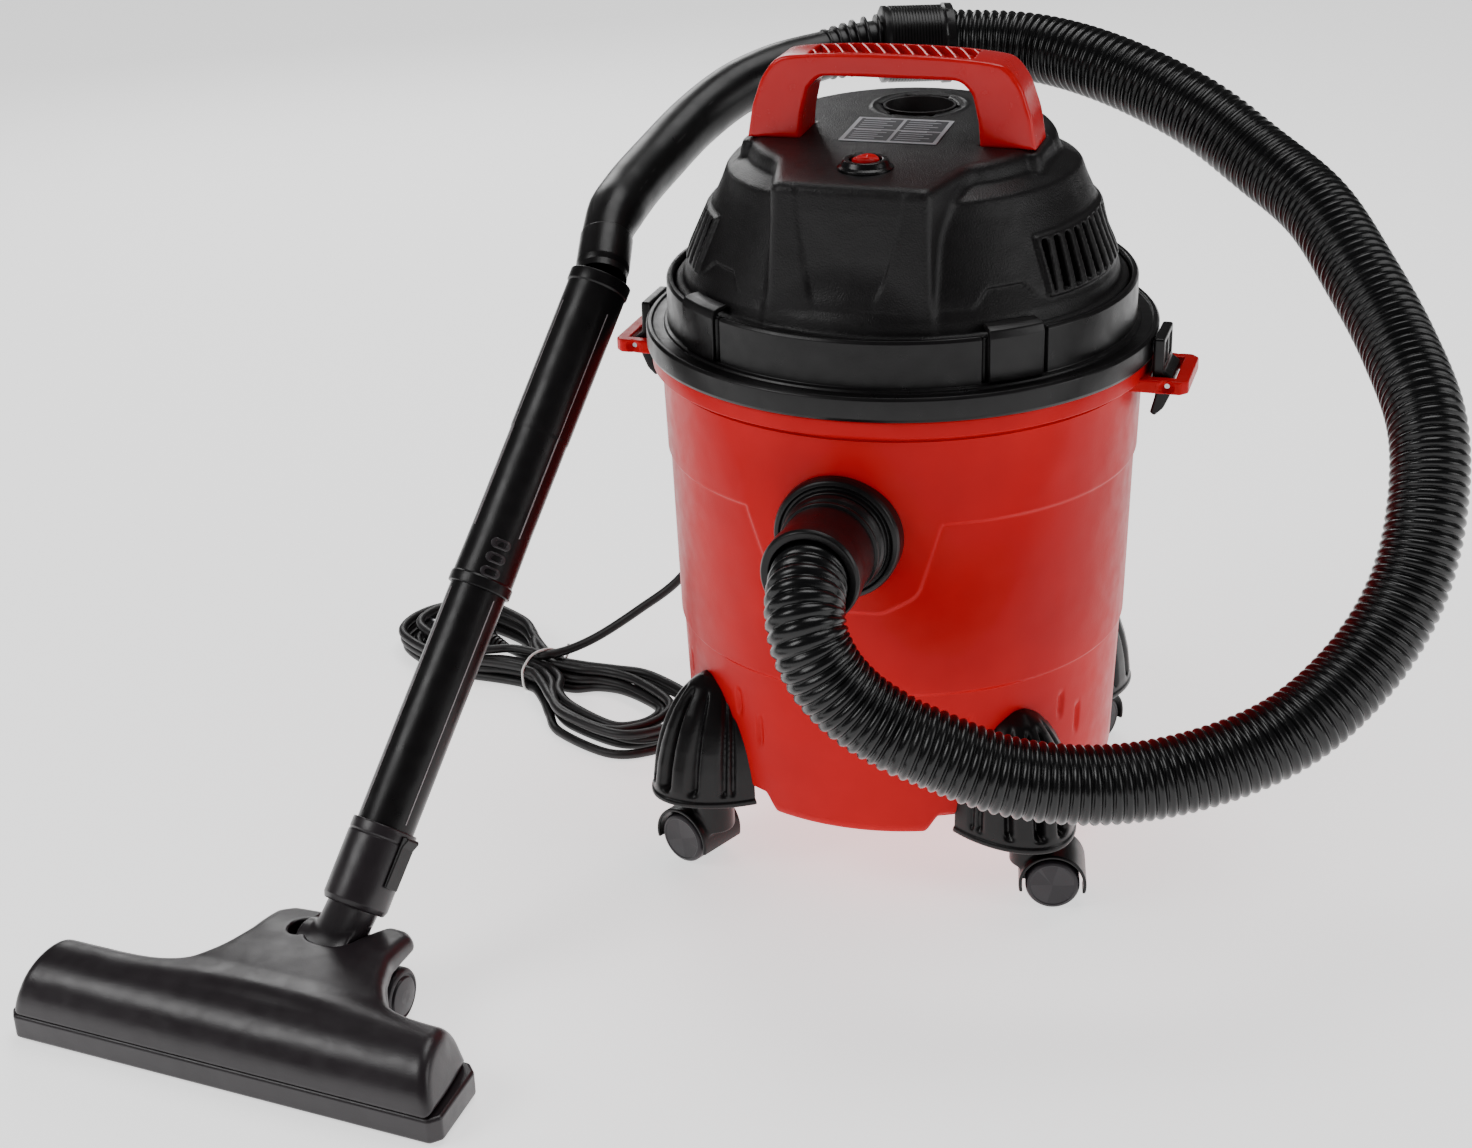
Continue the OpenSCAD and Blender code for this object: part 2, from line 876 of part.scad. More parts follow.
module nozzle_base() {
    l = nozzle_length / 2;
    d = nozzle_depth;
    color(black) nozzle_frame()
        difference() {
            translate([0, 0, 2])
                linear_extrude(12)
                    polygon([[-l + 6, 0], [l - 6, 0], [l, 6], [l - 3, d - 6], [l - 9, d], [-l + 9, d],
                        [-l + 3, d - 6], [-l, 6]]);
            translate([-118, 15, -1])
                cube([236, 18, 20]);
            for (y = [8, 38])
                translate([-120, y, -1])
                    cube([240, 4, 9]);
        }
}

module nozzle_brushes() {
    color(grey) nozzle_frame()
        for (y = [8.1, 38.1])
            translate([-119.9, y, 0.2])
                cube([239.8, 3.8, 7.8]);
}

module nozzle_wheels() {
    r = caster_wheel_radius;
    color(grey) nozzle_frame() {
        for (k = [-1, 1])
            translate([hump_shift + k * 36 - 9, pivot_back, r])
                rotate([0, 90, 0])
                    cylinder(h = 18, r = r);
        for (k = [-1, 1])
            translate([hump_shift + k * 30 - 10, pivot_back, r])
                rotate([0, 90, 0])
                    cylinder(h = 20, r = 2.5, $fn = 32);
    }
}

module cord_gland() {
    color(black) rotate([0, 0, 109.4])
        translate([130, 0, 340])
            rotate([0, 90, 0]) {
                cylinder(h = 25, r = 5.4, $fn = 32);
                translate([0, 0, 9.1])
                    cylinder(h = 3.2, r = 8, $fn = 32);
            }
}

module cord_lead() {
    color(black) swept(lead_route, 3, lead_diameter / 2, 8);
}

module hank_lobe(reach, r, open) {
    difference() {
        union() {
            linear_extrude(hank_height)
                polygon([[-2, -16.3], [18, -17.5], [reach - 14, -r + 1], [reach, -r], [reach, r],
                    [reach - 14, r - 1], [18, 17.5], [-2, 16.3]]);
            translate([reach, 0, 0])
                cylinder(h = hank_height, r = r);
        }
        translate([0, 0, -1])
            linear_extrude(hank_height + 2)
                polygon([[42, -5], [64, -open], [reach + 14, -open], [reach + 27, -open * 0.6],
                    [reach + 27, open * 0.6], [reach + 14, open], [64, open], [42, 5]]);
    }
}

module hank_frame() {
    translate([tie_at[0], tie_at[1], 0])
        rotate([0, 0, hank_turn])
            children();
}

module cord_hank() {
    color(black) hank_frame()
        difference() {
            union() {
                hank_lobe(98, 46, 16);
                rotate([0, 0, 180])
                    hank_lobe(96, 45, 19);
            }
            translate([-4.5, -25, -1])
                cube([9, 50, 2.1]);
        }
}

module plug() {
    color(black) hank_frame() {
        rod([-66, 0, 15.3], [-102, 0, 15.3], 15);
        rod([-46, 0, 15.3], [-67, 0, 15.3], 4, 7.5);
        rod([-101, 0, 15.3], [-104.5, 0, 15.3], 13);
    }
    color(steel) hank_frame()
        for (s = [-9.5, 9.5])
            rod([-104, s, 15.3], [-121.5, s, 15.3], 2.4);
}

module cord_tie() {
    color(white) hank_frame()
        translate([-1.5, 0, 0])
            difference() {
                translate([0, -18.5, 0])
                    cube([3, 37, 28.2]);
                translate([-1, -17, 1])
                    cube([5, 34, 26.2]);
            }
}

drum();
inlet_socket();
pod(225);  // pod_fl
pod(315);  // pod_fr
pod(135);  // pod_rl
pod(45);  // pod_rr
caster_stem(225, 157);  // caster_stem_fl
caster_stem(315, 12);  // caster_stem_fr
caster_stem(135, 120);  // caster_stem_rl
caster_stem(45, 60);  // caster_stem_rr
caster_hood(225, 157);  // caster_hood_fl
caster_hood(315, 12);  // caster_hood_fr
caster_hood(135, 120);  // caster_hood_rl
caster_hood(45, 60);  // caster_hood_rr
caster_wheels(225, 157);  // caster_wheels_fl
caster_wheels(315, 12);  // caster_wheels_fr
caster_wheels(135, 120);  // caster_wheels_rl
caster_wheels(45, 60);  // caster_wheels_rr
latch(-1);  // latch_left
latch(1);  // latch_right
latch_pin(-1);  // latch_pin_left
latch_pin(1);  // latch_pin_right
lid_ring();
rim_seal();
head_cover();
head_deck();
handle();
head_screws();
rating_label();
switch_body();
rocker();
motor_can();
stator();
armature();
motor_shaft();
motor_bearings();
impeller();
fan_case();
motor_plate();
float_cage();
float_cup();
foam_filter();
filter_clamp();
exhaust_duct();
inlet_elbow();
hose();
hose_cuff();
bent_tube();
wand_upper();
wand_lower();
nozzle_neck();
neck_clip();
nozzle_shell();
nozzle_base();
nozzle_brushes();
nozzle_wheels();
cord_gland();
cord_lead();
cord_hank();
plug();
cord_tie();
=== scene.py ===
"""Shop vacuum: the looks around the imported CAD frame. Metres in Blender, millimetres in the shape helpers."""
import json
import math

import bpy
import numpy as np
from mathutils import Matrix, Vector


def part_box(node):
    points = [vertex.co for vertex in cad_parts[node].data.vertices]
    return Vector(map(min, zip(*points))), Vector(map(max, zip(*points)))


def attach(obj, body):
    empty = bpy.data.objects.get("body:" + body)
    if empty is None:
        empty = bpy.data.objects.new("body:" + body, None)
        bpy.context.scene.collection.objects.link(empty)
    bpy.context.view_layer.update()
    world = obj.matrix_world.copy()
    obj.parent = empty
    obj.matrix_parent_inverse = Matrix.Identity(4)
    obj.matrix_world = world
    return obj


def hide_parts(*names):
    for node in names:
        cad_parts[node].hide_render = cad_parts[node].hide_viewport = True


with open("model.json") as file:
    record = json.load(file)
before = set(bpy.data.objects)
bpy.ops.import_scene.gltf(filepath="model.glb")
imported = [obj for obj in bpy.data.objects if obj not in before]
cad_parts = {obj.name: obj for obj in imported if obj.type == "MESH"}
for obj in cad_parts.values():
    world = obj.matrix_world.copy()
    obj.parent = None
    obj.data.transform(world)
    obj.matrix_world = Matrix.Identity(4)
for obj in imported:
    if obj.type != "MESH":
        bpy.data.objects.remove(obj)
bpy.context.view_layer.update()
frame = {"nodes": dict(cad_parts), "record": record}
MM = 0.001
NODES = frame["nodes"]

# ---------------------------------------------------------------- driving sizes, millimetres, from the frame


def box_mm(node):
    low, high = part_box(node)
    return np.array(low) / MM, np.array(high) / MM


TABS = (-131.0, -49.0, 49.0, 131.0)
TAB_HALF = 7.6
HANDLE_TOP = box_mm("handle")[1][2]
WHEEL_R = box_mm("nozzle_wheels")[1][2] / 2
DECK_Z = 437.5
DECK_SLOPE = 0.05
INLET_Z = 243.0
POD_ANGLES = {"fl": 225, "fr": 315, "rl": 135, "rr": 45}
CASTER_YAW = {"fl": 157, "fr": 12, "rl": 120, "rr": 60}
CASTER_R = 138.0
CASTER_TURN = 3.0
NOZZLE_AT = np.array([-275.0, -398.0, 0.0])
NOZZLE_YAW = -5.0
HUMP = 19.0
SEAM_Z = 17.0
PIVOT_BACK = 92.0
PIVOT_Z = 36.0
WAND_TOP = np.array([-165.0, -58.0, 354.0])
WAND_FOOT = np.array([-237.0, -298.0, 60.0])
CUFF_START = np.array([-23.0, 207.0, 442.0])
CUFF_END = np.array([-62.0, 190.0, 443.0])
# camera position in millimetres; the wand's painted highlight lines are set round the wand facing it
HIGHLIGHT_LINES_FACE = np.array([318.0, -1258.0, 751.0])
HANDLE_Y = -12
GRIP_LEAN = math.radians(25)
SWITCH_Y = -78
PORT_Y = 45
LATCH_PIN = (160, 302)
WHEEL_TRAIL = 13
WHEEL_Z = 16
LOUVRE_ARC_R = 120
LOUVRE_Z = 381
TIE_AT = np.array([-285.0, 88.0])
HANK_TURN = -28.0

# ---------------------------------------------------------------- camera, at the photograph's angle


def make_camera():
    data = bpy.data.cameras.new("camera")
    cam = bpy.data.objects.new("camera", data)
    bpy.context.scene.collection.objects.link(cam)
    right = Vector((0.951, 0.3077, -0.0297)).normalized()
    forward = Vector((-0.2918, 0.8619, -0.4147))
    forward = (forward - right * forward.dot(right)).normalized()
    up = right.cross(forward)
    turn = Matrix((right, up, -forward)).transposed().to_4x4()
    cam.matrix_world = Matrix.Translation((0.3183, -1.2581, 0.7511)) @ turn
    data.sensor_width = 36
    data.sensor_fit = "HORIZONTAL"
    data.lens = 56.27
    data.clip_start = 0.05
    data.clip_end = 30
    bpy.context.scene.camera = cam


make_camera()

# ---------------------------------------------------------------- materials


def material(name, colour, rough, grain=0.0, grain_size=0.8, ripple=0.0, metal=0.0,
             wear=0.0, tint=0.0, spec=0.5):
    """A moulded or metal finish: fine grain, slow ripple, uneven gloss, worn edges."""
    m = bpy.data.materials.new(name)
    m.use_nodes = True
    nt = m.node_tree
    b = nt.nodes["Principled BSDF"]
    b.inputs["Metallic"].default_value = metal
    b.inputs["Specular IOR Level"].default_value = spec
    where = nt.nodes.new("ShaderNodeTexCoord")

    def noise(size_mm, detail, low, high):
        n = nt.nodes.new("ShaderNodeTexNoise")
        n.inputs["Scale"].default_value = 1 / (size_mm * MM)
        n.inputs["Detail"].default_value = detail
        nt.links.new(where.outputs["Object"], n.inputs["Vector"])
        r = nt.nodes.new("ShaderNodeMapRange")
        r.inputs["From Min"].default_value = 0.3
        r.inputs["From Max"].default_value = 0.7
        r.inputs["To Min"].default_value = low
        r.inputs["To Max"].default_value = high
        nt.links.new(n.outputs["Fac"], r.inputs["Value"])
        return r.outputs["Result"]

    shade = nt.nodes.new("ShaderNodeMix")
    shade.data_type = "RGBA"
    shade.inputs[6].default_value = (*[c * (1 - tint) for c in colour], 1)
    shade.inputs[7].default_value = (*[min(1, c * (1 + tint) + 0.01 * tint) for c in colour], 1)
    nt.links.new(noise(38, 3, 0, 1), shade.inputs[0])
    colour_out = shade.outputs[2]
    gloss = noise(9, 4, rough - 0.05, rough + 0.05)
    if wear > 0:
        geo = nt.nodes.new("ShaderNodeNewGeometry")
        edge = nt.nodes.new("ShaderNodeMapRange")
        edge.inputs["From Min"].default_value = 0.53
        edge.inputs["From Max"].default_value = 0.62
        edge.inputs["To Max"].default_value = wear
        nt.links.new(geo.outputs["Pointiness"], edge.inputs["Value"])
        rubbed = nt.nodes.new("ShaderNodeMix")
        rubbed.data_type = "RGBA"
        rubbed.inputs[7].default_value = (*[min(1, c * 1.5 + 0.05) for c in colour], 1)
        nt.links.new(edge.outputs["Result"], rubbed.inputs[0])
        nt.links.new(colour_out, rubbed.inputs[6])
        colour_out = rubbed.outputs[2]
    nt.links.new(colour_out, b.inputs["Base Color"])
    nt.links.new(gloss, b.inputs["Roughness"])
    normal = None
    for size, height, detail in ((grain_size, grain, 2), (22.0, ripple, 1)):
        if height <= 0:
            continue
        bump = nt.nodes.new("ShaderNodeBump")
        bump.inputs["Strength"].default_value = 1.0
        bump.inputs["Distance"].default_value = height * MM
        nt.links.new(noise(size, detail, 0, 1), bump.inputs["Height"])
        if normal is not None:
            nt.links.new(normal, bump.inputs["Normal"])
        normal = bump.outputs["Normal"]
    if normal is not None:
        nt.links.new(normal, b.inputs["Normal"])
    return m


RED = (0.56, 0.0014, 0.0048)
M = {
    "red_drum": material("red_drum", RED, 0.36, grain=0.02, grain_size=1.2, ripple=0.25, tint=0.05,
                         wear=0.2, spec=0.13),
    "red_gloss": material("red_gloss", RED, 0.24, grain=0.012, grain_size=1.0, ripple=0.12, tint=0.04, wear=0.2,
                          spec=0.34),
    "black_grain": material("black_grain", (0.0045, 0.0038, 0.0042), 0.40, grain=0.11, grain_size=0.9, ripple=0.2,
                            tint=0.15, wear=0.3, spec=0.26),
    "black_smooth": material("black_smooth", (0.0045, 0.0039, 0.0043), 0.32, grain=0.02, grain_size=0.8, ripple=0.2,
                             tint=0.12, wear=0.3, spec=0.28),
    "black_gloss": material("black_gloss", (0.003, 0.003, 0.0034), 0.25, grain=0.012, grain_size=0.7, ripple=0.1,
                            tint=0.1, wear=0.15, spec=0.36),
    "nozzle_black": material("nozzle_black", (0.0170, 0.0130, 0.0155), 0.34, grain=0.02, grain_size=0.7, ripple=0.25,
                             tint=0.12, wear=0.35, spec=0.45),
    "rubber": material("rubber", (0.0065, 0.006, 0.0065), 0.45, grain=0.03, grain_size=0.5, tint=0.15,
                       wear=0.2, spec=0.4),
    "steel": material("steel", (0.55, 0.55, 0.57), 0.34, grain=0.01, grain_size=0.6, metal=1.0, tint=0.06),
    "copper": material("copper", (0.45, 0.16, 0.06), 0.4, grain=0.12, grain_size=0.9, metal=0.6, tint=0.2),
    "foam": material("foam", (0.02, 0.03, 0.05), 0.9, grain=0.7, grain_size=1.6, tint=0.3),
    "foil": material("foil", (0.50, 0.51, 0.54), 0.36, grain=0.01, grain_size=0.5, metal=0.3, tint=0.05),
    "label_dark": material("label_dark", (0.035, 0.037, 0.045), 0.4, grain=0.01, grain_size=0.5, tint=0.1),
    # light grey for the wand's raised mould lines: a painted highlight on black plastic, not the plastic's own colour
    "mould_line_painted_highlight": material("mould_line_painted_highlight", (0.30, 0.27, 0.28), 0.35, grain=0.01, grain_size=0.5, tint=0.1),
    "white": material("white", (0.80, 0.80, 0.78), 0.45, grain=0.015, grain_size=0.7, tint=0.03),
    "bristle": material("bristle", (0.02, 0.02, 0.02), 0.7, grain=0.4, grain_size=0.5, tint=0.3),
    "wheel": material("wheel", (0.0155, 0.0125, 0.0160), 0.42, grain=0.03, grain_size=0.8, tint=0.1,
                      wear=0.3, spec=0.4),
}
SLOT_FINISH = {"red_plastic": "red_gloss", "black_plastic": "black_grain", "black_satin": "black_smooth",
               "rubber": "rubber", "steel": "steel", "copper": "copper", "foam": "foam", "label_foil": "foil",
               "white_plastic": "white", "bristle": "bristle", "wheel_grey": "wheel"}
NODE_SLOT = {s["node"]: s["material_slot"] for s in frame["record"]["subparts"]}
NODE_BODY = {n: b for b, ns in frame["record"]["behaviour"]["bodies"].items() for n in ns}
for node, thing in NODES.items():
    thing.data.materials.clear()
    thing.data.materials.append(M[SLOT_FINISH[NODE_SLOT[node]]])

# ---------------------------------------------------------------- mesh helpers, millimetres in, metres out


def add_piece(name, verts, faces, node, finish, replaces=True, smooth=True, sharp=None):
    """A mesh piece that stands for a CAD node, rides on its body and takes its finish."""
    mesh = bpy.data.meshes.new(name)
    verts = np.asarray(verts, float) * MM
    if isinstance(faces, np.ndarray):
        n, k = faces.shape
        mesh.vertices.add(len(verts))
        mesh.vertices.foreach_set("co", verts.astype(np.float32).ravel())
        mesh.loops.add(n * k)
        mesh.loops.foreach_set("vertex_index", faces.astype(np.int32).ravel())
        mesh.polygons.add(n)
        mesh.polygons.foreach_set("loop_start", np.arange(0, n * k, k, dtype=np.int32))
        mesh.update(calc_edges=True)
    else:
        mesh.from_pydata([tuple(v) for v in verts], [], [tuple(int(i) for i in f) for f in faces])
    mesh.validate()
    mesh.polygons.foreach_set("use_smooth", [smooth] * len(mesh.polygons))
    obj = bpy.data.objects.new(name, mesh)
    bpy.context.scene.collection.objects.link(obj)
    mesh.materials.append(M[finish])
    if sharp is not None:
        mesh.set_sharp_from_angle(angle=math.radians(sharp))
    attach(obj, NODE_BODY[node])
    if replaces:
        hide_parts(node)
    return obj


def bevelled(obj, width_mm, segments=3, angle=35):
    mod = obj.modifiers.new("edges", "BEVEL")
    mod.width = width_mm * MM
    mod.segments = segments
    mod.limit_method = "ANGLE"
    mod.angle_limit = math.radians(angle)
    mod.harden_normals = False
    return obj


def turn(points, angle):
    """Turns points about Z by an angle in degrees."""
    a = math.radians(angle)
    p = np.asarray(points, float)
    out = p.copy()
    out[..., 0] = p[..., 0] * math.cos(a) - p[..., 1] * math.sin(a)
    out[..., 1] = p[..., 0] * math.sin(a) + p[..., 1] * math.cos(a)
    return out


def smoothstep(x, a, b):
    t = np.clip((x - a) / (b - a), 0, 1)
    return t * t * (3 - 2 * t)


def rounded_outline(points, radius, steps=5):
    """A closed or open outline whose corners are replaced by arcs; radius is one value or one per point."""
    pts = [np.array(p, float) for p in points]
    radii = [radius] * len(pts) if np.isscalar(radius) else list(radius)
    out = []
    for i, p in enumerate(pts):
        a, b = pts[i - 1] - p, pts[(i + 1) % len(pts)] - p
        la, lb = np.linalg.norm(a), np.linalg.norm(b)
        cosine = np.clip(a @ b / (la * lb), -1, 1)
        half = math.acos(cosine) / 2
        if radii[i] <= 0 or half > math.radians(88):
            out.append(p)
            continue
        cut = min(radii[i] / math.tan(half), 0.49 * la, 0.49 * lb)
        start, end = p + a / la * cut, p + b / lb * cut
        for k in range(steps + 1):
            t = k / steps
            out.append((1 - t) ** 2 * start + 2 * t * (1 - t) * p + t * t * end)
    return np.array(out)


def lathe_mesh(profile, around=128, closed=False):
    """Verts and faces of an (r, z) outline turned about Z."""
    prof = np.asarray(profile, float)
    angles = np.linspace(0, 2 * math.pi, around, endpoint=False)
    n = len(prof)
    verts = np.array([[r * math.cos(a), r * math.sin(a), z] for a in angles for r, z in prof])
    faces = []
    last = n if closed else n - 1
    for i in range(around):
        j = (i + 1) % around
        for k in range(last):
            kk = (k + 1) % n
            faces.append((i * n + k, j * n + k, j * n + kk, i * n + kk))
    return verts, np.array(faces)


def basis(axis):
    """Two unit directions square to an axis."""
    w = np.asarray(axis, float) / np.linalg.norm(axis)
    u = np.cross(w, [0.13, 0.31, 0.94] if abs(w[2]) < 0.9 else [1, 0, 0])
    u /= np.linalg.norm(u)
    return u, np.cross(w, u), w


def along(verts, origin, axis, roll=0.0):
    """Moves a shape made about +Z so that its Z runs along an axis from an origin."""
    u, v, w = basis(axis)
    c, s = math.cos(math.radians(roll)), math.sin(math.radians(roll))
    u, v = c * u + s * v, -s * u + c * v
    return np.asarray(origin) + verts[:, :1] * u + verts[:, 1:2] * v + verts[:, 2:3] * w


def smooth_route(points, step):
    """A Catmull-Rom line through the points, resampled at an even step, millimetres."""
    p = np.asarray(points, float)
    ext = np.vstack([2 * p[0] - p[1], p, 2 * p[-1] - p[-2]])
    fine = []
    for i in range(1, len(ext) - 2):
        a, b, c, d = ext[i - 1:i + 3]
        for t in np.linspace(0, 1, 24, endpoint=False):
            fine.append(0.5 * (2 * b + (c - a) * t + (2 * a - 5 * b + 4 * c - d) * t * t
                               + (3 * b - a - 3 * c + d) * t ** 3))
    fine = np.array(fine + [p[-1]])
    gaps = np.linalg.norm(np.diff(fine, axis=0), axis=1)
    s = np.concatenate([[0], np.cumsum(gaps)])
    even = np.linspace(0, s[-1], max(2, int(round(s[-1] / step)) + 1))
    return np.stack([np.interp(even, s, fine[:, k]) for k in range(3)], 1), even


def frames_along(line):
    """Tangents and side directions that don't twist along a line."""
    t = np.gradient(line, axis=0)
    t /= np.linalg.norm(t, axis=1)[:, None]
    u = np.zeros_like(t)
    first = np.cross(t[0], [0.1, 0.2, 0.97])
    u[0] = first / np.linalg.norm(first)
    for i in range(1, len(t)):
        v = u[i - 1] - (u[i - 1] @ t[i]) * t[i]
        u[i] = v / np.linalg.norm(v)
    return t, u, np.cross(t, u)


def swept_mesh(line, radius, around=48):
    """A tube along a line; radius is a function of distance along it and angle round it, both arrays."""
    gaps = np.linalg.norm(np.diff(line, axis=0), axis=1)
    s = np.concatenate([[0], np.cumsum(gaps)])
    _, u, v = frames_along(line)
    a = np.linspace(0, 2 * math.pi, around, endpoint=False)
    r = radius(s[:, None], a[None, :])
    verts = (line[:, None, :] + r[..., None] * (np.cos(a)[None, :, None] * u[:, None, :]
                                               + np.sin(a)[None, :, None] * v[:, None, :]))
    m = len(line)
    i = np.arange(m - 1)[:, None] * around
    k = np.arange(around)[None, :]
    kk = (k + 1) % around
    faces = np.stack([i + k, i + kk, i + around + kk, i + around + k], -1).reshape(-1, 4)
    return verts.reshape(-1, 3), faces


# ---------------------------------------------------------------- signed distance shapes and their skin


class Field:
    """A grid of points in a box; distances are arrays over it."""

    def __init__(self, low, high, step):
        self.low, self.step = np.array(low, float), step
        axes = [np.arange(a, b + step, step, dtype=np.float32) for a, b in zip(low, high)]
        self.x, self.y, self.z = np.meshgrid(*axes, indexing="ij", sparse=True)


def smin(a, b, k):
    h = np.clip(0.5 + 0.5 * (b - a) / k, 0, 1)
    return b * (1 - h) + a * h - k * h * (1 - h)


def smax(a, b, k):
    return -smin(-a, -b, k)


def box_d(p, q, r, centre, half, radius=0.0):
    """Distance to a box with rounded edges."""
    dx = np.abs(p - centre[0]) - half[0] + radius
    dy = np.abs(q - centre[1]) - half[1] + radius
    dz = np.abs(r - centre[2]) - half[2] + radius
    out = np.sqrt(np.maximum(dx, 0) ** 2 + np.maximum(dy, 0) ** 2 + np.maximum(dz, 0) ** 2)
    return out + np.minimum(np.maximum(np.maximum(dx, dy), dz), 0) - radius


def outline_d(p, q, points):
    """Signed distance to a closed outline in two coordinates."""
    pts = np.asarray(points, np.float32)
    shape = np.broadcast(p, q).shape
    best = np.full(shape, 1e9, np.float32)
    sign = np.ones(shape, np.float32)
    for i in range(len(pts)):
        a, b = pts[i], pts[i - 1]
        ex, ey = b[0] - a[0], b[1] - a[1]
        wx, wy = p - a[0], q - a[1]
        t = np.clip((wx * ex + wy * ey) / (ex * ex + ey * ey + 1e-9), 0, 1)
        best = np.minimum(best, (wx - ex * t) ** 2 + (wy - ey * t) ** 2)
        c1, c2, c3 = q >= a[1], q < b[1], ex * wy > ey * wx
        sign = np.where((c1 & c2 & c3) | (~c1 & ~c2 & ~c3), -sign, sign)
    return sign * np.sqrt(best)


def skin(field, d):
    """Verts and quads of the surface where d is zero, one vertex in each cell that it crosses."""
    d = np.ascontiguousarray(np.broadcast_to(d, (field.x.size, field.y.size, field.z.size)), dtype=np.float32)
    inside = d < 0
    cells = np.zeros(tuple(n - 1 for n in d.shape), np.int8)
    corners = [(i, j, k) for i in (0, 1) for j in (0, 1) for k in (0, 1)]
    n0, n1, n2 = cells.shape
    for i, j, k in corners:
        cells += inside[i:i + n0, j:j + n1, k:k + n2]
    active = np.argwhere((cells > 0) & (cells < 8))
    number = np.full(cells.shape, -1, np.int64)
    number[tuple(active.T)] = np.arange(len(active))
    total = np.zeros((len(active), 3))
    hits = np.zeros(len(active))
    for a in corners:
        for axis in range(3):
            if a[axis]:
                continue
            b = list(a)
            b[axis] = 1
            va = d[tuple((active + a).T)]
            vb = d[tuple((active + b).T)]
            cross = (va < 0) != (vb < 0)
            t = np.where(cross, va / np.where(cross, va - vb, 1), 0)
            point = np.repeat(np.array([a], float), len(active), 0)
            point[:, axis] = t
            total += point * cross[:, None]
            hits += cross
    verts = field.low + field.step * (active + total / hits[:, None])
    faces = []
    for axis in range(3):
        o1, o2 = [(1, 2), (2, 0), (0, 1)][axis]
        lo = [slice(None)] * 3
        hi = [slice(None)] * 3
        lo[axis], hi[axis] = slice(0, -1), slice(1, None)
        first, second = inside[tuple(lo)], inside[tuple(hi)]
        edge = np.argwhere(first != second)
        ok = ((edge[:, o1] > 0) & (edge[:, o2] > 0) & (edge[:, o1] < d.shape[o1] - 1)
              & (edge[:, o2] < d.shape[o2] - 1))
        edge = edge[ok]
        outward = first[tuple(edge.T)]
        e1, e2 = np.eye(3, dtype=int)[o1], np.eye(3, dtype=int)[o2]
        quad = np.stack([number[tuple((edge - e1 - e2).T)], number[tuple((edge - e2).T)],
                         number[tuple(edge.T)], number[tuple((edge - e1).T)]], 1)
        quad[~outward] = quad[~outward][:, ::-1]
        faces.append(quad)
    return verts, np.concatenate(faces)


# ---------------------------------------------------------------- cords: the hose and the mains lead

HOSE_ROUTE = [(0, -188, 243), (0.2, -199, 242), (1.2, -209, 238.6), (3.2, -217.5, 232.5), (6.2, -223.5, 224),
              (10.5, -226.3, 213.5), (19, -226.5, 199), (32, -224.5, 184.5), (48, -222, 173), (67, -220, 164),
              (113, -212, 147), (161, -197, 141), (209, -175, 146), (251, -149, 161), (282, -116, 186),
              (301, -87, 219), (307, -60, 257), (302, -27, 294), (281, 23, 322), (255, 64, 349), (226, 105, 374),
              (188, 138, 393), (145, 160, 416), (89, 184, 434), (34, 207, 441), (-23, 207, 442)]
HOSE_D = 43.0
HOSE_PITCH = 5.4


def make_hose():
    """Helical ribs with round crests and narrow grooves, on the route's own line."""
    line, _ = smooth_route(HOSE_ROUTE, HOSE_PITCH / 10)

    def radius(s, a):
        phase = (s / HOSE_PITCH - a / (2 * math.pi)) * 2 * math.pi
        crest = np.abs(np.cos(phase / 2)) ** 0.75
        return HOSE_D / 2 - 2.3 * (1 - crest)

    verts, faces = swept_mesh(line, radius, 56)
    hose = add_piece("hose_ribbed", verts, faces, "hose", "black_gloss")


make_hose()

# ---------------------------------------------------------------- drum


def drum_radius(z, upper):
    """Outer radius of the drum wall; upper is 1 above the upper step line or on the apron."""
    r = np.interp(z, [51, 143.5], [131, 134.5]) * (z <= 143.5) + (z > 143.5) * np.interp(
        z, [143.5, 250, 304, 320], [134.5, 137.0, 138.5, 138.5])
    return r + 1.5 * smoothstep(z, 142.6, 144.8) + 1.5 * upper


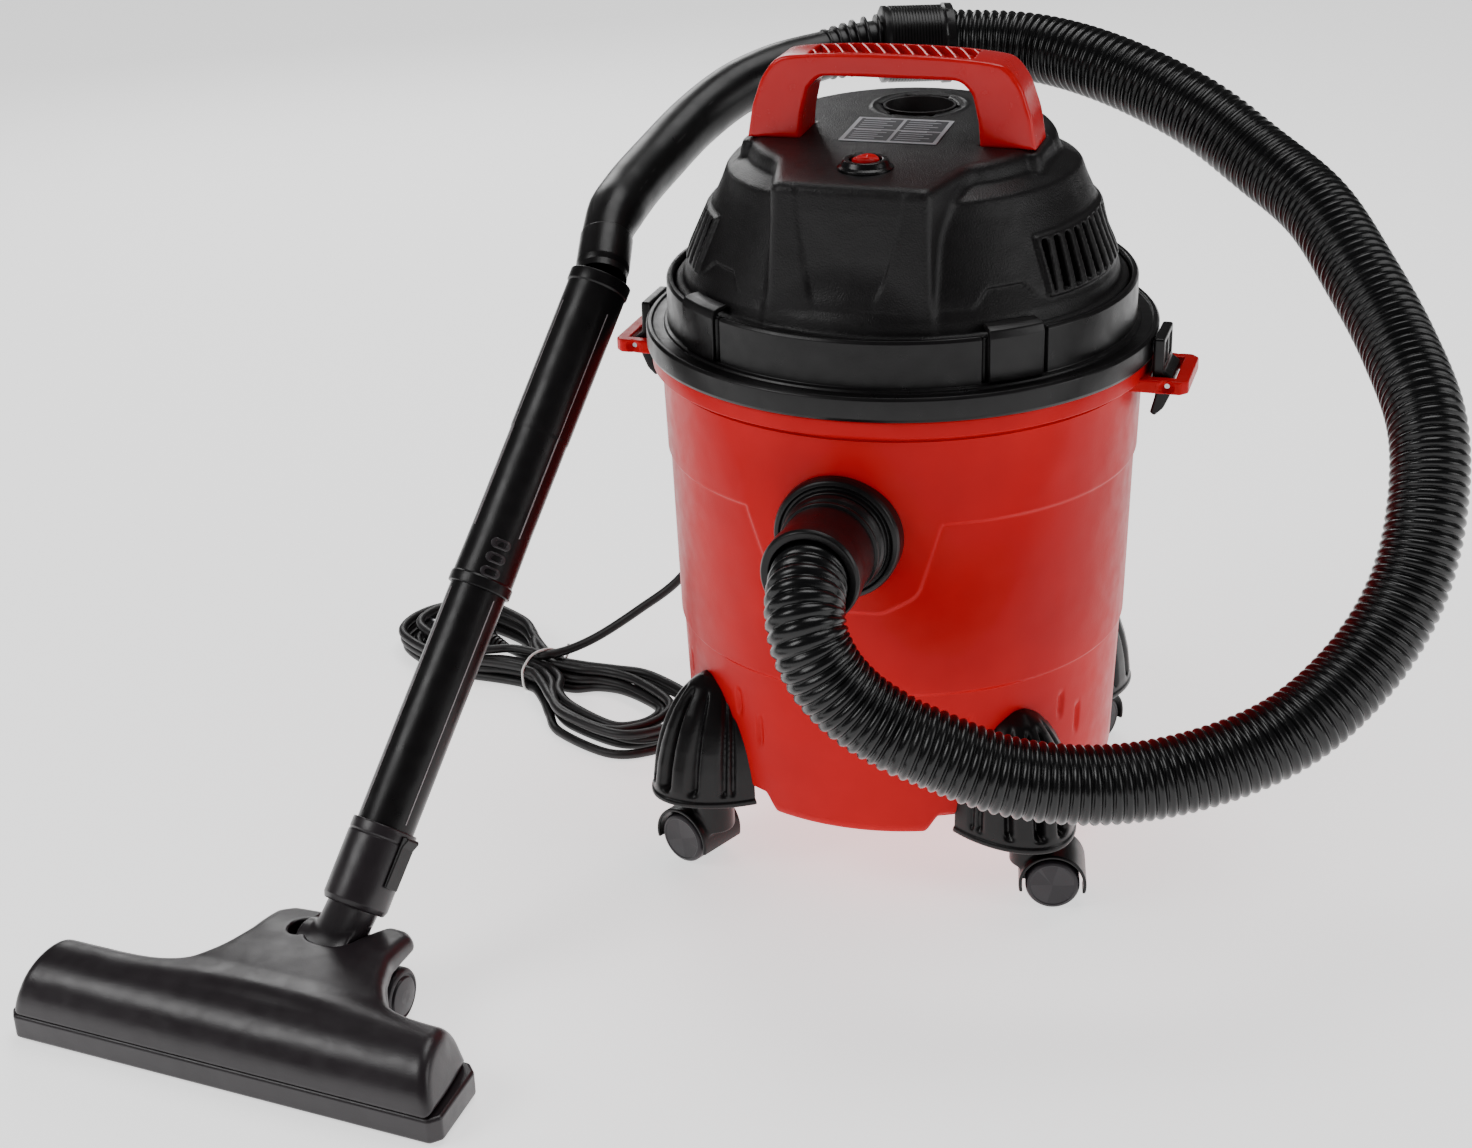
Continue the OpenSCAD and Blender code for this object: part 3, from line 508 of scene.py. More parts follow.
def make_drum():
    wall = 2.5
    zs = np.concatenate([np.linspace(51, 75, 22), np.linspace(77, 139, 20), np.linspace(141, 146, 11),
                         np.linspace(149, 192, 16), np.linspace(193, 253, 81), np.linspace(256, 300, 14)])
    around = 720
    theta = np.linspace(0, 2 * math.pi, around, endpoint=False)
    az = (np.degrees(theta) + 90 + 180) % 360 - 180
    t, z = np.meshgrid(theta, zs, indexing="ij")
    a = np.meshgrid(az, zs, indexing="ij")[0]
    arc = np.radians(a) * 139.0
    apron = outline_d(arc, z, rounded_outline([(-62, 262), (-58, 247), (-48, 222), (-26, 196), (24, 196),
                                               (44, 207), (56, 247), (62, 262)], 14, 6))
    inside_front = np.abs(a) < 60
    upper = np.maximum(smoothstep(z, 249, 251.5), inside_front * smoothstep(-apron, -1.2, 1.2))
    r = drum_radius(z, upper)
    pod = np.min([np.abs((np.degrees(t) - p + 180) % 360 - 180) for p in POD_ANGLES.values()], 0)
    bottom = 51 + 10.5 * (1 - smoothstep(pod, 20.5, 25.0))
    z_out = np.where(z < 75, bottom + (z - 51) / 24 * (75 - bottom), z)
    r = np.where(z < 56, r - 1.2 * (1 - np.clip((z - 51) / 5, 0, 1)) ** 2, r)
    slot = np.zeros_like(z)
    for p in POD_ANGLES.values():
        for off, top, height in ((-13.5, 118, 14), (13.5, 118, 14), (20.5, 104, 16), (-20.5, 104, 16)):
            da = np.abs((np.degrees(t) - p - off + 180) % 360 - 180) * math.pi / 180 * 134
            dz = np.abs(z - top) - height / 2
            slot = np.maximum(slot, (1 - smoothstep(da, 1.6, 2.6)) * (1 - smoothstep(dz, -1, 0.4)))
    r = r - 1.6 * slot
    outer = np.stack([r * np.cos(t), r * np.sin(t), z_out], -1)
    rim = rounded_outline([(140.0, 300.5), (140.6, 303.6), (147, 304.0), (147, 313.6), (144.8, 313.6),
                           (144.8, 311.6), (141.2, 311.6), (141.2, 313.6), (139.1, 313.6), (139.0, 303)],
                          [0, 2.0, 1.0, 1.2, .3, .3, .3, .5, .8, 0], 4)
    inner_z = np.linspace(301, 63.5, 60)
    inner_r = np.array([drum_radius(np.float64(v), float(v > 250)) - wall for v in inner_z])
    floor_line = [(126.5, 61.5), (90, 61.5), (45, 61.5), (0.01, 61.5)]
    tail = np.concatenate([rim, np.stack([inner_r, inner_z], 1), floor_line])
    head = np.array([(0.01, 59.0), (60, 59.0), (126.8, 59.0)])

    def circle(r_, z_):
        return np.stack([r_ * np.cos(theta), r_ * np.sin(theta), np.full(around, z_)], -1)

    rows = [circle(r_, z_) for r_, z_ in head]
    lip = outer[:, 0, :].copy()
    shrink = 1 - 2.6 / np.linalg.norm(lip[:, :2], axis=1)
    lip[:, :2] *= shrink[:, None]
    rows.append(lip)
    rows += [outer[:, i, :] for i in range(outer.shape[1])]
    rows += [circle(r_, z_) for r_, z_ in tail]
    grid = np.stack(rows, 1)
    n = grid.shape[1]
    i = np.arange(around)[:, None] * n
    j = (np.arange(around)[:, None] + 1) % around * n
    k = np.arange(n - 1)[None, :]
    faces = np.stack([i + k, j + k, j + k + 1, i + k + 1], -1).reshape(-1, 4)
    add_piece("drum_shell", grid.reshape(-1, 3), faces, "drum", "red_drum", sharp=50)
    for side in (-1, 1):
        make_ear(side)


def make_ear(side):
    """Slotted ear that carries a latch."""
    f = Field((136, -28, 291), (175, 28, 309), 0.5)
    x, y, z = f.x, f.y, f.z
    plan = outline_d(x, y, rounded_outline([(130, -25.5), (168, -25.5), (172, -21), (172, 21), (168, 25.5),
                                            (130, 25.5)], [0, 3, 3, 3, 3, 0], 4))
    d = smax(plan, np.abs(z - 302) - 4, 1.2)
    slot = np.maximum(np.abs(x - 156.9) - 7.1, np.abs(y) - 18.5)
    d = smax(d, -slot, 0.8)
    d = np.maximum(d, 138.6 - np.sqrt(x * x + y * y))
    pin = np.sqrt((x - LATCH_PIN[0]) ** 2 + (z - LATCH_PIN[1]) ** 2)
    d = np.maximum(d, 1.55 - pin + np.maximum(np.abs(y) - 22.5, 0))
    verts, faces = skin(f, d)
    if side < 0:
        verts = verts * [-1, 1, 1]
        faces = faces[:, ::-1]
    add_piece(f"ear_{'right' if side > 0 else 'left'}", verts, faces, "drum", "red_drum", replaces=False)


make_drum()

# ---------------------------------------------------------------- motor head


def make_head_cover():
    """Skirt ring, cone with its shelf, front bay with a panel, louvres and handle posts as one skin."""
    f = Field((-134, -134, 318), (134, 134, 443), 1.05)
    x, y, z = f.x, f.y, f.z
    r = np.sqrt(x * x + y * y)
    az = np.abs(np.degrees(np.arctan2(x, -y)))
    skirt = outline_d(r, z, rounded_outline([(0, 300), (132.1, 300), (132.1, 351.4), (131.2, 353.4), (127.4, 354.2),
                                             (126.6, 356), (125.2, 361), (118.6, 372), (96, 414), (0, 414)],
                                            [0, 0, 1, 1, 1, 1, 5, 12, 6, 0], 4))
    back = 3.5 * smoothstep(az, 84, 108)
    dome = outline_d(r - back * smoothstep(z, 378, 400), z, rounded_outline(
        [(0, 340), (128, 340), (124.4, 361), (120.8, 371), (103.2, 409), (99.6, 418.5), (88, 424),
         (80, 450), (0, 450)],
        [0, 0, 6, 12, 10, 5, 5, 3, 0], 5))
    foot = 366.5 + 9 * smoothstep(az, 32, 38) * (1 - smoothstep(az, 47, 53)) - 3.5 * smoothstep(az, 58, 66)
    dome = smax(dome, foot - z, 1.2)
    d = smin(skirt, dome, 0.8)
    front = (-y) - (119.8 - 0.085 * (z - 357)) + 0.0009 * x * x
    half = 47.0 - 0.05 * (z - 357) + 0.24 * np.maximum(y + 112, 0) * smoothstep(z, 396, 424)
    bay = smax(smax(np.abs(x) - half, front, 5), y + 20, 1)
    panel = outline_d(x, z, rounded_outline([(-30, 445), (-27.5, 412), (-20.5, 359.5), (14.5, 357.5), (27, 412),
                                             (30, 445)], [0, 6, 11, 11, 6, 0], 5))
    depth = 3.6 * np.clip((418 - z) / 56, 0, 1) ** 0.8
    bay = smax(bay, -smax(panel, -(front + depth), 1.0), 2.2)
    d = smin(d, bay, 4)
    psi = np.degrees(np.arctan2(y, np.abs(x)))
    arc = psi * math.pi / 180 * LOUVRE_ARC_R
    grille = smax(smax(dome - 2.4, np.abs(arc) - 74, 2), np.abs(z - LOUVRE_Z) - 15.5, 2)
    grille = np.maximum(grille, 90 - r)
    d = smin(d, grille, 1.5)
    pitch = math.radians(5.0) * LOUVRE_ARC_R
    lean = (arc - 0.16 * (z - 388)) / pitch
    gap = (lean - np.floor(lean) - 0.5) * pitch
    slots = np.maximum(np.maximum(np.abs(gap) - 2.5, np.abs(z - LOUVRE_Z) - 13.5), np.abs(arc) - 70)
    d = smax(d, -np.maximum(slots, -(dome + 5.5)), 0.6)
    for s in (-1, 1):
        post = box_d(x, y, z, (s * 66.5, HANDLE_Y, 412), (19.5 + 0.14 * (436 - z), 19.5 + 0.14 * (436 - z), 30), 7)
        d = smin(d, smax(post, z - 434.6, 1.2), 2.5)
    deck = (z - DECK_Z - DECK_SLOPE * y) / math.sqrt(1 + DECK_SLOPE ** 2)
    d = smax(d, deck + 0.00016 * x * x, 6.0)
    feet = np.maximum(np.maximum(np.abs(np.abs(x) - 67.5) - 15.8, np.abs(y - HANDLE_Y) - 16.3), 434.1 - z)
    d = smax(d, -feet, 0.6)
    wide = np.sqrt(x * x + (y - PORT_Y) ** 2)
    nib = np.cos(3 * np.arctan2(y - PORT_Y, x)) ** 40 * 3.2
    inner = outline_d(r, z, [(0, 300), (121.5, 300), (121.5, 356), (113.5, 371), (96, 409), (92, 414), (82, 419),
                             (76, 433), (0, 433)])
    chin = np.maximum(np.abs(x) - half + 4, np.maximum(front + 7, z - 428))
    inner = np.maximum(np.minimum(inner, chin), deck + 4)
    d = np.maximum(d, -inner)
    d = smax(d, -np.maximum(wide - 21.6 - nib, 420 - z), 0.7)
    d = smax(d, -(np.sqrt(x * x + (y - SWITCH_Y) ** 2) - 10.3), 0.7)
    d = smin(d, np.maximum(np.abs(wide - 27.5) - 0.6, np.abs(deck + 0.3) - 0.9), 0.8)
    d = np.maximum(d, 320 - z)
    verts, faces = skin(f, d)
    head = add_piece("head_cover_skin", verts, faces, "head_cover", "black_grain")
    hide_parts("head_cover", "head_deck")


def make_lid_ring():
    """Flange, bead and collar, with a groove each side of every clip tab."""
    prof = rounded_outline([(122, 314), (135, 314), (135, 303), (138, 303), (138, 314), (149.2, 314), (150, 316),
                            (150, 326.6), (148.6, 328), (146.6, 328), (146.0, 327), (139.6, 327), (139.0, 328.2),
                            (137, 329), (137, 353.6), (135.8, 355.3), (133.4, 355.3), (132.6, 353), (132.4, 321),
                            (122, 318)],
                           [0.5, .5, .5, .5, .8, .8, 1, 1.2, .6, .5, .5, .5, 0.8, 1, 1.2, .8, .8, 1, 2, .5], 3)
    grooves = [t + e for t in TABS for e in (-TAB_HALF, TAB_HALF)]
    angles = sorted(set(np.round(np.concatenate([np.linspace(-180, 180, 240, endpoint=False)] + [
        g + np.array([-0.95, -0.6, -0.3, 0, 0.3, 0.6, 0.95]) for g in grooves]), 3)))
    rows = []
    for a in angles:
        deep = max(1 - smoothstep(abs(a - g), 0.35, 0.8) for g in grooves)
        wall = (prof[:, 0] > 136) & (prof[:, 1] > 329.5)
        r = prof[:, 0] - 2.6 * deep * wall
        z = prof[:, 1] - 1.2 * deep * (prof[:, 1] > 354)
        rows.append(np.stack([r * math.cos(math.radians(a)), r * math.sin(math.radians(a)), z], 1))
    grid = np.array(rows)
    around, n = grid.shape[:2]
    i = np.arange(around)[:, None] * n
    j = (np.arange(around)[:, None] + 1) % around * n
    k = np.arange(n)[None, :]
    faces = np.stack([i + k, i + (k + 1) % n, j + (k + 1) % n, j + k], -1).reshape(-1, 4)
    add_piece("lid_ring_turned", grid.reshape(-1, 3), faces[:, ::-1], "lid_ring", "black_smooth", sharp=40)
    for number, centre in enumerate(TABS):
        make_tab(centre, number)


def make_tab(centre, number):
    """Upright tab between two grooves, a little proud of the collar, bent in over its edge."""
    section = rounded_outline([(136.4, 329), (138.9, 329.6), (138.9, 354), (137.6, 358.2), (133.5, 359.6),
                               (128.4, 360.2), (128.4, 357.6), (134.5, 356.4), (136.4, 352)],
                              [0, 0.8, 3, 2, 1, 0.6, 0.6, 2, 1], 3)
    angles = np.radians(centre + np.linspace(-1, 1, 17) * (TAB_HALF - 0.75))
    n = len(section)
    verts = np.array([[r * math.cos(a), r * math.sin(a), z] for a in angles for r, z in section])
    faces = [(i * n + k, i * n + (k + 1) % n, (i + 1) * n + (k + 1) % n, (i + 1) * n + k)
             for i in range(len(angles) - 1) for k in range(n)]
    faces += [tuple(range(n))[::-1], tuple(range((len(angles) - 1) * n, len(angles) * n))]
    obj = add_piece(f"lid_tab_{number}", verts, faces, "lid_ring", "black_smooth", replaces=False, sharp=35)
    bevelled(obj, 0.6, 2, 60)


def make_handle():
    """Bow handle with a hollow-backed, slotted top and flared feet."""
    f = Field((-86, -31, 432), (86, 7, 487), 0.62)
    x, y, z = f.x, f.y, f.z
    top = HANDLE_TOP
    outer = rounded_outline([(-83, 434.3), (-80, 452), (-74.5, 468), (-66, 480), (-50, top - 0.6), (50, top - 0.6),
                             (66, 480), (74.5, 468), (80, 452), (83, 434.3)],
                            [0, 30, 30, 30, 30, 30, 30, 30, 30, 0], 7)
    inner = rounded_outline([(-52, 425), (-50, 448), (-46.5, 463), (-40, 470), (40, 470), (46.5, 463),
                             (50, 448), (52, 425)], [0, 12, 8, 10, 10, 8, 12, 0], 4)
    two_d = np.maximum(outline_d(x, z, outer), -outline_d(x, z, inner))
    two_d = smax(two_d, -outline_d(x, z, inner), 2)
    width = 16.2 - 0.5 * smoothstep(z, 440, 470)
    d = smax(two_d, np.abs(y - HANDLE_Y) - width, 2.8)
    crown = z - (top - 0.0009 * x * x - 0.004 * (y - HANDLE_Y) ** 2)
    d = smax(d, crown, 1.5)
    turned_x = x * math.cos(GRIP_LEAN) + (y - HANDLE_Y) * math.sin(GRIP_LEAN)
    pitch = 8.0 * math.cos(GRIP_LEAN)
    cell = turned_x / pitch - np.floor(turned_x / pitch) - 0.5
    pocket = np.maximum(np.maximum(np.abs(cell) * pitch - 2.75, np.abs(y - HANDLE_Y) - 12.4), np.abs(x) - 46.5)
    pocket = smax(pocket, (top - 6) - z, 0.5)
    d = smax(d, -pocket, 0.7)
    verts, faces = skin(f, np.maximum(d, 434.3 - z))
    add_piece("handle_bow", verts, faces, "handle", "red_gloss")


def deck_point(x, y, lift=0.0):
    return (x, y, DECK_Z + DECK_SLOPE * y + lift)


def flat_piece(name, outline, node, finish, height, base, soft=0.15):
    """A thin plate on the sloping deck from an outline in x and y."""
    pts = [deck_point(px, py, up) for up in (base, base + height) for px, py in outline]
    n = len(outline)
    faces = [tuple(range(n))[::-1], tuple(range(n, 2 * n))]
    faces += [(i, (i + 1) % n, n + (i + 1) % n, n + i) for i in range(n)]
    obj = add_piece(name, pts, faces, node, finish, replaces=False, sharp=30)
    return bevelled(obj, soft, 2)


def make_label():
    """Plain foil label: silver border, dark fields and rows of blank lines, with no lettering."""
    plate = [(-28, -32), (28, -32), (28, 14), (-28, 14)]
    obj = flat_piece("label_foil", plate, "rating_label", "foil", 0.35, 0.05)
    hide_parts("rating_label")
    fields = [(-25.5, -29.5, -1.0, -10.5), (1.0, -29.5, 25.5, -10.5),
              (-25.5, -8.5, -1.0, 11.5), (1.0, -8.5, 25.5, 11.5)]
    for i, (x0, y0, x1, y1) in enumerate(fields):
        flat_piece(f"label_field_{i}", [(x0, y0), (x1, y0), (x1, y1), (x0, y1)], "rating_label", "label_dark",
                   0.12, 0.38, soft=0.03)
        rows = 5
        for k in range(rows):
            yk = y0 + (k + 0.7) * (y1 - y0) / rows
            length = (x1 - x0 - 4) * (0.92 if k % 2 else 0.72)
            flat_piece(f"label_line_{i}_{k}", [(x0 + 2, yk), (x0 + 2 + length, yk), (x0 + 2 + length, yk + 0.9),
                                               (x0 + 2, yk + 0.9)], "rating_label", "foil", 0.08, 0.49, soft=0.02)


def make_switch():
    """Round bezel with a well, and an oval red rocker with raised marks."""
    z0 = 433.4
    prof = rounded_outline([(8.95, z0 - 6), (8.95, z0 + 5.2), (12.3, z0 + 5.2), (13.6, z0 + 2.2), (15.4, z0 + 1.0),
                            (15.4, z0 - 1.2), (10.2, z0 - 1.2), (10.2, z0 - 20), (8.95, z0 - 20)],
                           [0, 1.0, 1.2, 1.5, .6, 0, 0, 0, 0], 4)
    verts, faces = lathe_mesh(prof, 96, closed=True)
    verts[:, 1] += SWITCH_Y
    add_piece("switch_bezel", verts, faces, "switch_body", "black_gloss", sharp=40)
    f = Field((-10, -90, 425), (10, -66, 444), 0.3)
    x, y, z = f.x, f.y, f.z
    a = math.radians(-7)
    yy, zz = y - SWITCH_Y, z - 434
    u = yy * math.cos(a) + zz * math.sin(a)
    w = -yy * math.sin(a) + zz * math.cos(a)
    face = w - (4.6 + 0.030 * u * u)
    d = smax((np.sqrt((x / 7.4) ** 2 + (u / 8.2) ** 2) - 1) * 7.4, face, 0.9)
    d = smax(d, -(w + 4), 0.5)
    ring = np.sqrt((x / 1.5) ** 2 + ((u + 3.4) / 2.1) ** 2) * 1.5
    marks = np.minimum(np.abs(ring - 1.5) - 0.32, np.maximum(np.abs(x) - 0.35, np.abs(u - 3.6) - 1.7))
    d = np.minimum(d, np.maximum(marks, np.maximum(face - 0.35, -face - 1)))
    verts, faces = skin(f, d)
    add_piece("rocker_oval", verts, faces, "rocker", "red_gloss")


make_head_cover()
make_lid_ring()
make_handle()
make_label()
make_switch()

# ---------------------------------------------------------------- inlet, hose socket, cuff, grip tube and wand


def unit(v):
    v = np.asarray(v, float)
    return v / np.linalg.norm(v)


def turned(name, profile, origin, axis, node, finish, replaces=False, around=96, closed=True, sharp=40,
           flip=False):
    """A lathe outline of (radius, height along the axis) set on an axis."""
    verts, faces = lathe_mesh(profile, around, closed)
    if flip:
        faces = faces[:, ::-1]
    return add_piece(name, along(verts, origin, axis), faces, node, finish, replaces=replaces, sharp=sharp)


def make_inlet():
    """Stepped rosette on the drum and the straight-out hose socket that turns in it."""
    prof = rounded_outline([(23, 12), (27, 12), (30, 14), (36, 14), (36, 24), (35, 27), (32.5, 28), (31.5, 26.5),
                            (30, 26.5), (29.5, 30), (24.5, 30), (23, 28)],
                           [0, 0, 1, 1, 1.5, 2, 1, .6, .6, 1.2, 1.2, .5], 4)
    turned("inlet_rosette", prof, (0, -120, INLET_Z), (0, -1, 0), "inlet_socket", "black_smooth", True, 128,
           flip=True)
    prof = rounded_outline([(22.2, 30.6), (28.6, 30.6), (29.2, 32), (28.0, 34.5), (26.6, 36), (26.4, 60), (26.6, 66),
                            (27.6, 67), (27.6, 76.5), (26.4, 78.5), (22.3, 78.5), (22.2, 70)],
                           [0, .8, 1, 1, 1, 8, 1, .8, 1.4, 1.4, .8, 0], 4)
    turned("elbow_moulded", prof, (0, -120, INLET_Z), (0, -1, 0), "inlet_elbow", "black_smooth", True, 128,
           flip=True)
    clip = rounded_outline([(26, 38), (28.0, 38.6), (28.4, 40), (28.0, 41.4), (26, 42)], [0, .6, .6, .6, 0], 3)
    turned("elbow_ring", clip, (0, -120, INLET_Z), (0, -1, 0), "inlet_elbow", "black_smooth", flip=True)


def make_cuff():
    """Swivel cuff: smooth rim, then fine grooves round its length, closing on the grip tube."""
    axis = CUFF_END - CUFF_START
    length = np.linalg.norm(axis)
    pts = [(21.7, -3), (25.2, -3), (25.4, 2.0), (24.3, 3.0)]
    grooves = 17
    for k in range(grooves):
        s = 5.0 + k * (length - 9.5) / grooves
        pts += [(24.3, s), (24.3, s + 1.0), (23.6, s + 1.25), (23.6, s + 1.6)]
    pts += [(24.3, length - 3.2), (24.3, length - 0.8), (22.5, length), (15.2, length), (15.2, 9), (21.7, 8)]
    turned("cuff_grooved", pts, CUFF_START, axis, "hose_cuff", "black_smooth", True, 96, sharp=50, flip=True)


TUBE_ROUTE = [(-66, 188.3, 443.1), (-80, 181, 441), (-98, 168, 438), (-120, 147, 433), (-140, 122, 425),
              (-156, 90, 412), (-166, 50, 398), (-171, 10, 387), (-171, -25, 376), (-165, -58, 354)]


def make_grip_tube():
    """Bent tube with fine lengthwise grip ribs and the cooling fins by the cuff."""
    ext = [tuple(CUFF_END - 20 * unit(CUFF_END - CUFF_START))] + TUBE_ROUTE
    line, s_all = smooth_route(ext, 2.2)
    total = s_all[-1]
    ribs = 34

    def radius(s, a):
        grip = smoothstep(s, 62, 82) * (1 - smoothstep(s, total - 66, total - 44))
        wave = np.abs(np.cos(a * ribs / 2)) ** 1.5
        flat = smoothstep(np.cos(a - 0.4), -0.2, 0.15)
        stout = 1.9 * smoothstep(s, 44, 100) * (1 - smoothstep(s, total - 58, total - 34))
        return 15.0 + stout - 0.8 * grip * flat * (1 - wave)

    verts, faces = swept_mesh(line, radius, 340)
    add_piece("grip_tube", verts, faces, "bent_tube", "black_smooth")
    t, _, _ = frames_along(line)

    def at(d):
        return int(round((d + 20) / 2.2))

    for k, (d, r) in enumerate(((1.5, 19.0), (8, 18.4), (14.5, 18.0), (21, 17.4), (27.5, 16.9), (34, 16.3))):
        i = at(d)
        prof = rounded_outline([(14.4, -1.3), (r, -1.0), (r, 1.0), (14.4, 1.3)], [0, .8, .8, 0], 3)
        turned(f"tube_fin_{k}", prof, line[i], t[i], "bent_tube", "black_smooth", flip=True)
    prof = rounded_outline([(14.3, -26), (15.6, -26), (15.8, -4), (15.0, 0), (14.3, 0)], [0, 1, 2, .5, 0], 3)
    i = at(total - 24)
    turned("tube_seat", prof, line[i], t[i], "bent_tube", "black_smooth", flip=True)


def make_wand():
    """Two-part wand: outer tube with collars, inner tube, raised mould lines painted light grey as highlight lines,
    and blank pill marks.
    """
    w = unit(WAND_TOP - WAND_FOOT)
    total = np.linalg.norm(WAND_TOP - WAND_FOOT)
    mid = 190.0
    upper = rounded_outline([(15.1, 0), (18.4, 0), (18.4, 6), (17.6, 7), (17.2, 40), (17.2, 95), (17.6, 97),
                             (17.6, total - mid - 8), (18.4, total - mid - 7), (18.4, total - mid),
                             (16.1, total - mid), (15.1, total - mid - 8)],
                            [0, .8, .6, .6, 4, 2, .6, .6, .6, .9, .5, 0], 3)
    turned("wand_outer", upper, WAND_FOOT + mid * w, w, "wand_upper", "black_smooth", True, 96, flip=True)
    lower = rounded_outline([(14, 6), (16.5, 6), (16.5, mid + 29), (14, mid + 29)], [0, .6, .6, 0], 3)
    turned("wand_inner", lower, WAND_FOOT, w, "wand_lower", "black_smooth", True, 96, flip=True)
    # the mould lines are placed round the wand from the camera's direction, so their light grey paint lies where
    # highlights would fall
    toward = HIGHLIGHT_LINES_FACE - (WAND_FOOT + 170 * w)
    side = unit(toward - (toward @ w) * w)
    for k, (turn_deg, low, high) in enumerate(((38, 52, mid - 4), (-64, 52, mid - 4), (38, mid + 34, total - 22),
                                               (-64, mid + 34, total - 22), (180, 52, mid - 4))):
        q = unit(side * math.cos(math.radians(turn_deg)) + np.cross(w, side) * math.sin(math.radians(turn_deg)))
        r = 16.5 if high < mid else 17.45
        strip(f"mould_line_painted_highlight_{k}", WAND_FOOT + low * w, WAND_FOOT + high * w, q, r, 0.8, 0.35,
              "wand_lower" if high < mid else "wand_upper")
    for k in range(3):
        q = unit(side * math.cos(math.radians(8)) + np.cross(w, side) * math.sin(math.radians(8)))
        a = WAND_FOOT + (mid + 10 + 8.5 * k) * w
        pill(f"pill_{k}", a, w, q, 17.35)


def strip(name, a, b, out, r, width, rise, node):
    """A thin raised mould line along the wand, painted light grey as a highlight."""
    w = unit(b - a)
    q = np.cross(w, out)
    prof = [(-width / 2, r - 1), (-width / 2 * 0.6, r + rise), (width / 2 * 0.6, r + rise), (width / 2, r - 1)]
    pts = [p + q * s + out * h for p in (a, b) for s, h in prof]
    faces = [(0, 1, 5, 4), (1, 2, 6, 5), (2, 3, 7, 6), (3, 0, 4, 7), (3, 2, 1, 0), (4, 5, 6, 7)]
    add_piece(name, pts, faces, node, "mould_line_painted_highlight", replaces=False, smooth=False)


def pill(name, centre, w, out, r):
    """A raised blank pill mark across the wand."""
    q = np.cross(w, out)
    outline = [(5.2 * math.copysign(1, math.cos(t)) * 0.55 + 3.0 * math.cos(t), 3.0 * math.sin(t))
               for t in np.linspace(0, 2 * math.pi, 25)[:-1]]
    pts = []
    for h, k in ((-1.5, 1.0), (0.5, 1.0), (0.75, 0.86), (0.75, 0.62), (0.15, 0.55)):
        for a, b in outline:
            drop = (r - math.sqrt(max(r * r - (a * k) ** 2, 0)))
            pts.append(centre + q * a * k + w * b * k + out * (r + h - drop))
    n = len(outline)
    faces = [(i * n + k, i * n + (k + 1) % n, (i + 1) * n + (k + 1) % n, (i + 1) * n + k)
             for i in range(4) for k in range(n)] + [tuple(range(4 * n, 5 * n))]
    add_piece(name, pts, faces, "wand_upper", "nozzle_black", replaces=False, sharp=50)


make_inlet()
make_cuff()
make_grip_tube()
make_wand()

# ---------------------------------------------------------------- floor nozzle


def nozzle_place(verts):
    """From the nozzle's own frame (x along it, y back, z up) to the floor frame."""
    return turn(np.asarray(verts, float), NOZZLE_YAW) + NOZZLE_AT


def make_nozzle_shell():
    """D-shaped shell whose back flares up into the hump that holds the neck, over the rollers."""
    f = Field((-139, -2, SEAM_Z - 3), (139, 122, 54), 0.8)
    x, y, z = f.x, f.y, f.z
    s = HUMP
    section = rounded_outline([(0.6, SEAM_Z), (2.0, 27), (8, 38), (17, 44.5), (29, 47.4), (40, 45.5), (48, 36),
                               (51.4, SEAM_Z)], [0, 40, 40, 40, 40, 40, 40, 0], 9)
    d = outline_d(y, z, section)
    end = np.abs(x) - (134.4 - 0.24 * (z - 14) - 0.0020 * (y - 20) ** 2 - 0.10 * y)
    d = smax(d, end, 6)
    plan = outline_d(x, y, rounded_outline([(s - 116, 30), (s - 74, 40), (s - 54, 62), (s - 47, 84), (s - 46, 108),
                                            (s - 38, 117), (s + 36, 117), (s + 43, 110), (s + 44, 84), (s + 52, 62),
                                            (s + 70, 40), (s + 110, 30)],
                                           [4, 60, 60, 22, 8, 8, 8, 8, 22, 60, 60, 4], 7))
    top = z - (49.8 - 0.0010 * (x - s) ** 2 - 0.0042 * np.maximum(y - 80, 0) ** 2
               - 0.0016 * np.maximum(58 - y, 0) ** 2)
    hump = smax(smax(plan, top, 7), SEAM_Z - z, 1)
    d = smin(d, hump, 9)
    fork = outline_d(x, y, rounded_outline([(s - 16.8, 150), (s - 16.8, 75), (s + 17.2, 75), (s + 17.2, 150)],
                                           [0, 12, 14, 0], 7))
    lean = outline_d(x, y, rounded_outline([(s - 9, 150), (s - 12, 78.5), (s + 15, 78.5), (s + 27, 118),
                                            (s + 34, 150)],
                                           [0, 12, 14, 12, 0], 7))
    d = smax(d, -np.maximum(fork, z - 46), 1.5)
    d = smax(d, -np.maximum(lean, 36.5 - z), 1.8)
    pivot = np.sqrt((x - s + 17.5) ** 2 + ((y - 91.5) * 0.8) ** 2) - 7.2
    d = smax(d, -np.maximum(pivot, 35 - z), 1.6)
    for k in (-1, 1):
        cave = smax(smax(k * (s - x) + 26.5, 70 - y, 10), z - 35.6, 3)
        d = smax(d, -cave, 1.6)
    inside = np.maximum(np.maximum(smax(outline_d(y, z, section), end, 4) + 3, SEAM_Z - 3 - z), z - 40)
    d = np.maximum(d, -inside)
    verts, faces = skin(f, d)
    add_piece("nozzle_shell_skin", nozzle_place(verts), faces, "nozzle_shell", "nozzle_black")


